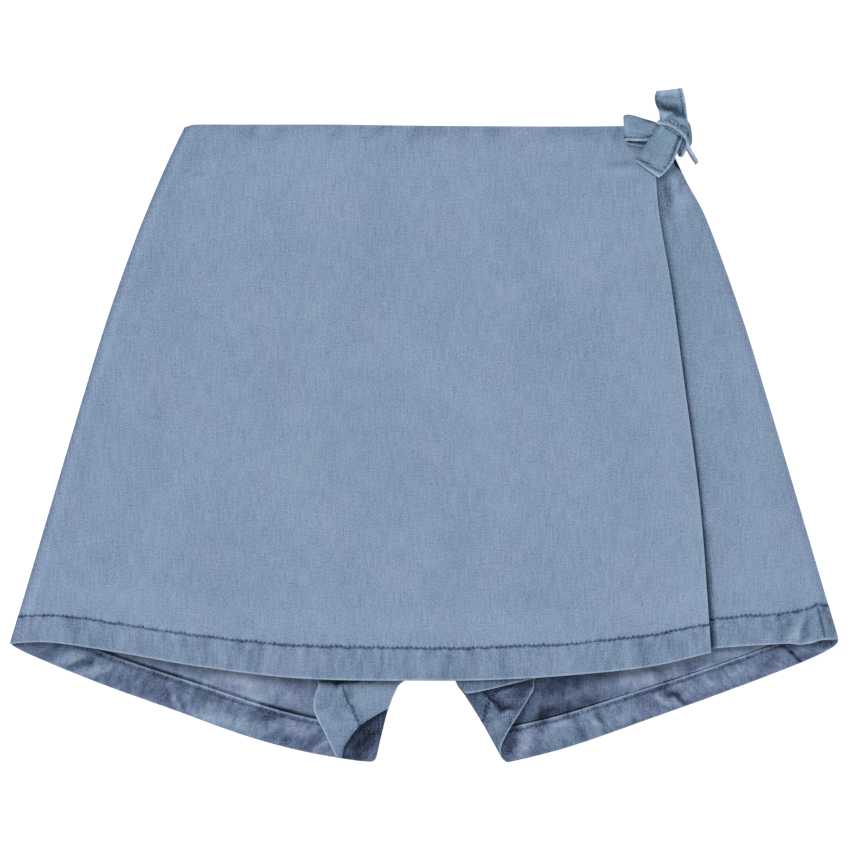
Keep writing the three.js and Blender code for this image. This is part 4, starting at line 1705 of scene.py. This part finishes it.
# %% [markdown]
# The rounded core under the turn is what the tape is pulled round, and it closes the knot when it is seen from the
# side. It starts as a cube with a fine grid, and each point is pulled most of the way to a ball and then stretched.

# %% Core of the knot
CORE_CENTRE = Vector((135.6, 160.9, 7.2))
CORE_TURN = Matrix.Rotation(math.radians(-31), 3, "Z")
ROUNDNESS = 0.62


def knot_core():
    mesh = bmesh.new()
    bmesh.ops.create_cube(mesh, size=1.0)
    bmesh.ops.subdivide_edges(mesh, edges=mesh.edges[:], cuts=9, use_grid_fill=True)
    for vert in mesh.verts:
        sides = vert.co * 2
        roundness = max(abs(c) for c in sides) / max(sides.length, 1e-6)
        sides *= lerp(1.0, roundness * 1.16, ROUNDNESS)
        crease = 0.35 * noise.noise(Vector((sides.x * 1.4, sides.y * 4, sides.z * 2)))
        vert.co = CORE_TURN @ Vector((sides.x * 7.4, sides.y * (4.3 + crease), sides.z * 4.6))
        vert.co = (vert.co + CORE_CENTRE) * MM
    bmesh.ops.recalc_face_normals(mesh, faces=mesh.faces[:])
    tone = mesh.verts.layers.float.new("tone")
    weave, hem = mesh.loops.layers.uv.new("weave"), mesh.loops.layers.uv.new("hem")
    for face in mesh.faces:
        face.smooth = True
        for loop in face.loops:
            place = loop.vert.co
            # The core is painted a little darker all over, for the shade under the turn.
            loop.vert[tone] = -0.1
            loop[weave].uv, loop[hem].uv = (place.x + place.z, place.y - place.z), (place.x, 12 * MM)
    return dress("tie_knot_core", mesh, tie_cloth)


core = knot_core()
print("core:", len(core.data.polygons), "faces")

# %% [markdown]
# ## Floor, light and camera
#
# The skort lies on a white table. The table gives off a little light of its own, so that it stays white around the
# cloth and its shadows are pale. It is part of the stage and not of the skort.

# %% Floor
floor_mesh = bmesh.new()
bmesh.ops.create_grid(floor_mesh, x_segments=1, y_segments=1, size=4.0)
for vert in floor_mesh.verts:
    vert.co.z = -0.25 * MM
floor_data = bpy.data.meshes.new("floor")
floor_mesh.to_mesh(floor_data)
floor_mesh.free()
floor = bpy.data.objects.new("floor", floor_data)
bpy.context.scene.collection.objects.link(floor)
paper = Shader("white paper")
paper_surface = paper.node(
    "BsdfPrincipled",
    {
        "Base Color": (0.5, 0.5, 0.5, 1.0),
        "Roughness": 1.0,
        "Specular IOR Level": 0.0,
        "Emission Color": (1.0, 1.0, 1.0, 1.0),
        "Emission Strength": 0.82,
    },
)
paper.node("OutputMaterial", {"Surface": paper_surface.outputs[0]})
floor_data.materials.append(paper.material)
print("floor:", [round(side, 1) for side in floor.dimensions[:2]], "m")

# %% [markdown]
# The light is even, as in a tent of white cloth. One large, soft key light comes from the upper left, and it shows
# the creases and the edges of the layers.

# %% Light
world = bpy.data.worlds.new("white tent")
world.use_nodes = True
world.node_tree.nodes["Background"].inputs["Color"].default_value = (1.0, 1.0, 1.0, 1.0)
world.node_tree.nodes["Background"].inputs["Strength"].default_value = 0.55
bpy.context.scene.world = world

key_data = bpy.data.lights.new("key", "SUN")
key_data.energy, key_data.angle = 1.5, math.radians(28)
key = bpy.data.objects.new("key", key_data)
key.rotation_euler = Vector((0.55, -0.62, -1.0)).to_track_quat("-Z", "Y").to_euler()
bpy.context.scene.collection.objects.link(key)
print("key light:", key_data.energy, "at", round(math.degrees(key_data.angle)), "degrees wide")

# %% [markdown]
# The camera looks straight down through a long lens, so the panels keep their true outlines. Its height follows
# from the lens and from the width that it has to show at the level of the cloth.

# %% Camera
LENS, SENSOR, VIEW_WIDTH, CLOTH_LEVEL = 120.0, 36.0, 0.459, 0.0045
VIEW_CENTRE_X = 0.27 * MM
lens = bpy.data.cameras.new("camera")
lens.lens, lens.sensor_width, lens.clip_end = LENS, SENSOR, 20.0
camera = bpy.data.objects.new("camera", lens)
camera.location = (VIEW_CENTRE_X, 0.0, CLOTH_LEVEL + VIEW_WIDTH * LENS / SENSOR)
bpy.context.scene.collection.objects.link(camera)
bpy.context.scene.camera = camera
bpy.context.scene.view_settings.view_transform = "Standard"
print("camera is", round(camera.location.z, 2), "m above the table")

# %% [markdown]
# ## Hiding the solids
#
# Each dressed piece stands for one solid of the packed model, which is hidden here. The sizes of the flat cloth that
# the legs were cut from are listed in metres. The legs come first: the back ones lie on the table, and the front ones
# on them.

BACK_CUT = {"left": (0.2265, 0.3435, 0.0590), "right": (0.2245, 0.3440, 0.0584)}
FRONT_CUT = {"left": (0.2190, 0.3400, 0.0517), "right": (0.2165, 0.3385, 0.0511)}
for side in SIGN:
    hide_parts(f"back_leg_{side}")
    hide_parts(f"front_leg_{side}")
    back_width, back_length, back_area = BACK_CUT[side]
    front_width, front_length, front_area = FRONT_CUT[side]
print("declared:", [leg.name for leg in (*back_legs.values(), *front_legs.values())])

# %% [markdown]
# The wraps lie on the front legs, and the front wrap also lies on the under wrap.

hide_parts("front_wrap")
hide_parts("under_wrap")
print("declared:", [wrap.name for wrap in wraps.values()])

# %% [markdown]
# The solids of the bow's tapes are hidden, and each tape is listed with its width and length. The knot's turn, fold
# and core together stand for one solid, which is hidden as well.

LEAST_LENGTH = 10.1
tapes = [
    (left_loop, left_seam, "tie_loop_left", 14.6, left_length, [wraps["front"]], "folded"),
    (upper_loop, upper_seam, "tie_loop_upper", 15.4, upper_length, [core], "folded"),
    (front_tail, front_tail_seam, "tie_tail_front", 16.4, front_tail_length, [left_loop], "laid"),
    (back_tail, back_tail_seam, "tie_tail_back", 12.6, back_tail_length, [core], "hung"),
]
for piece, seam, node, width, length, below, held in tapes:
    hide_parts(node)
    width * MM
    max(length, LEAST_LENGTH) * MM
    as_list(below)
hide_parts("tie_knot")
print("declared:", [piece.name for piece, *_ in tapes], "and", knot_turn.name)

# %% [markdown]
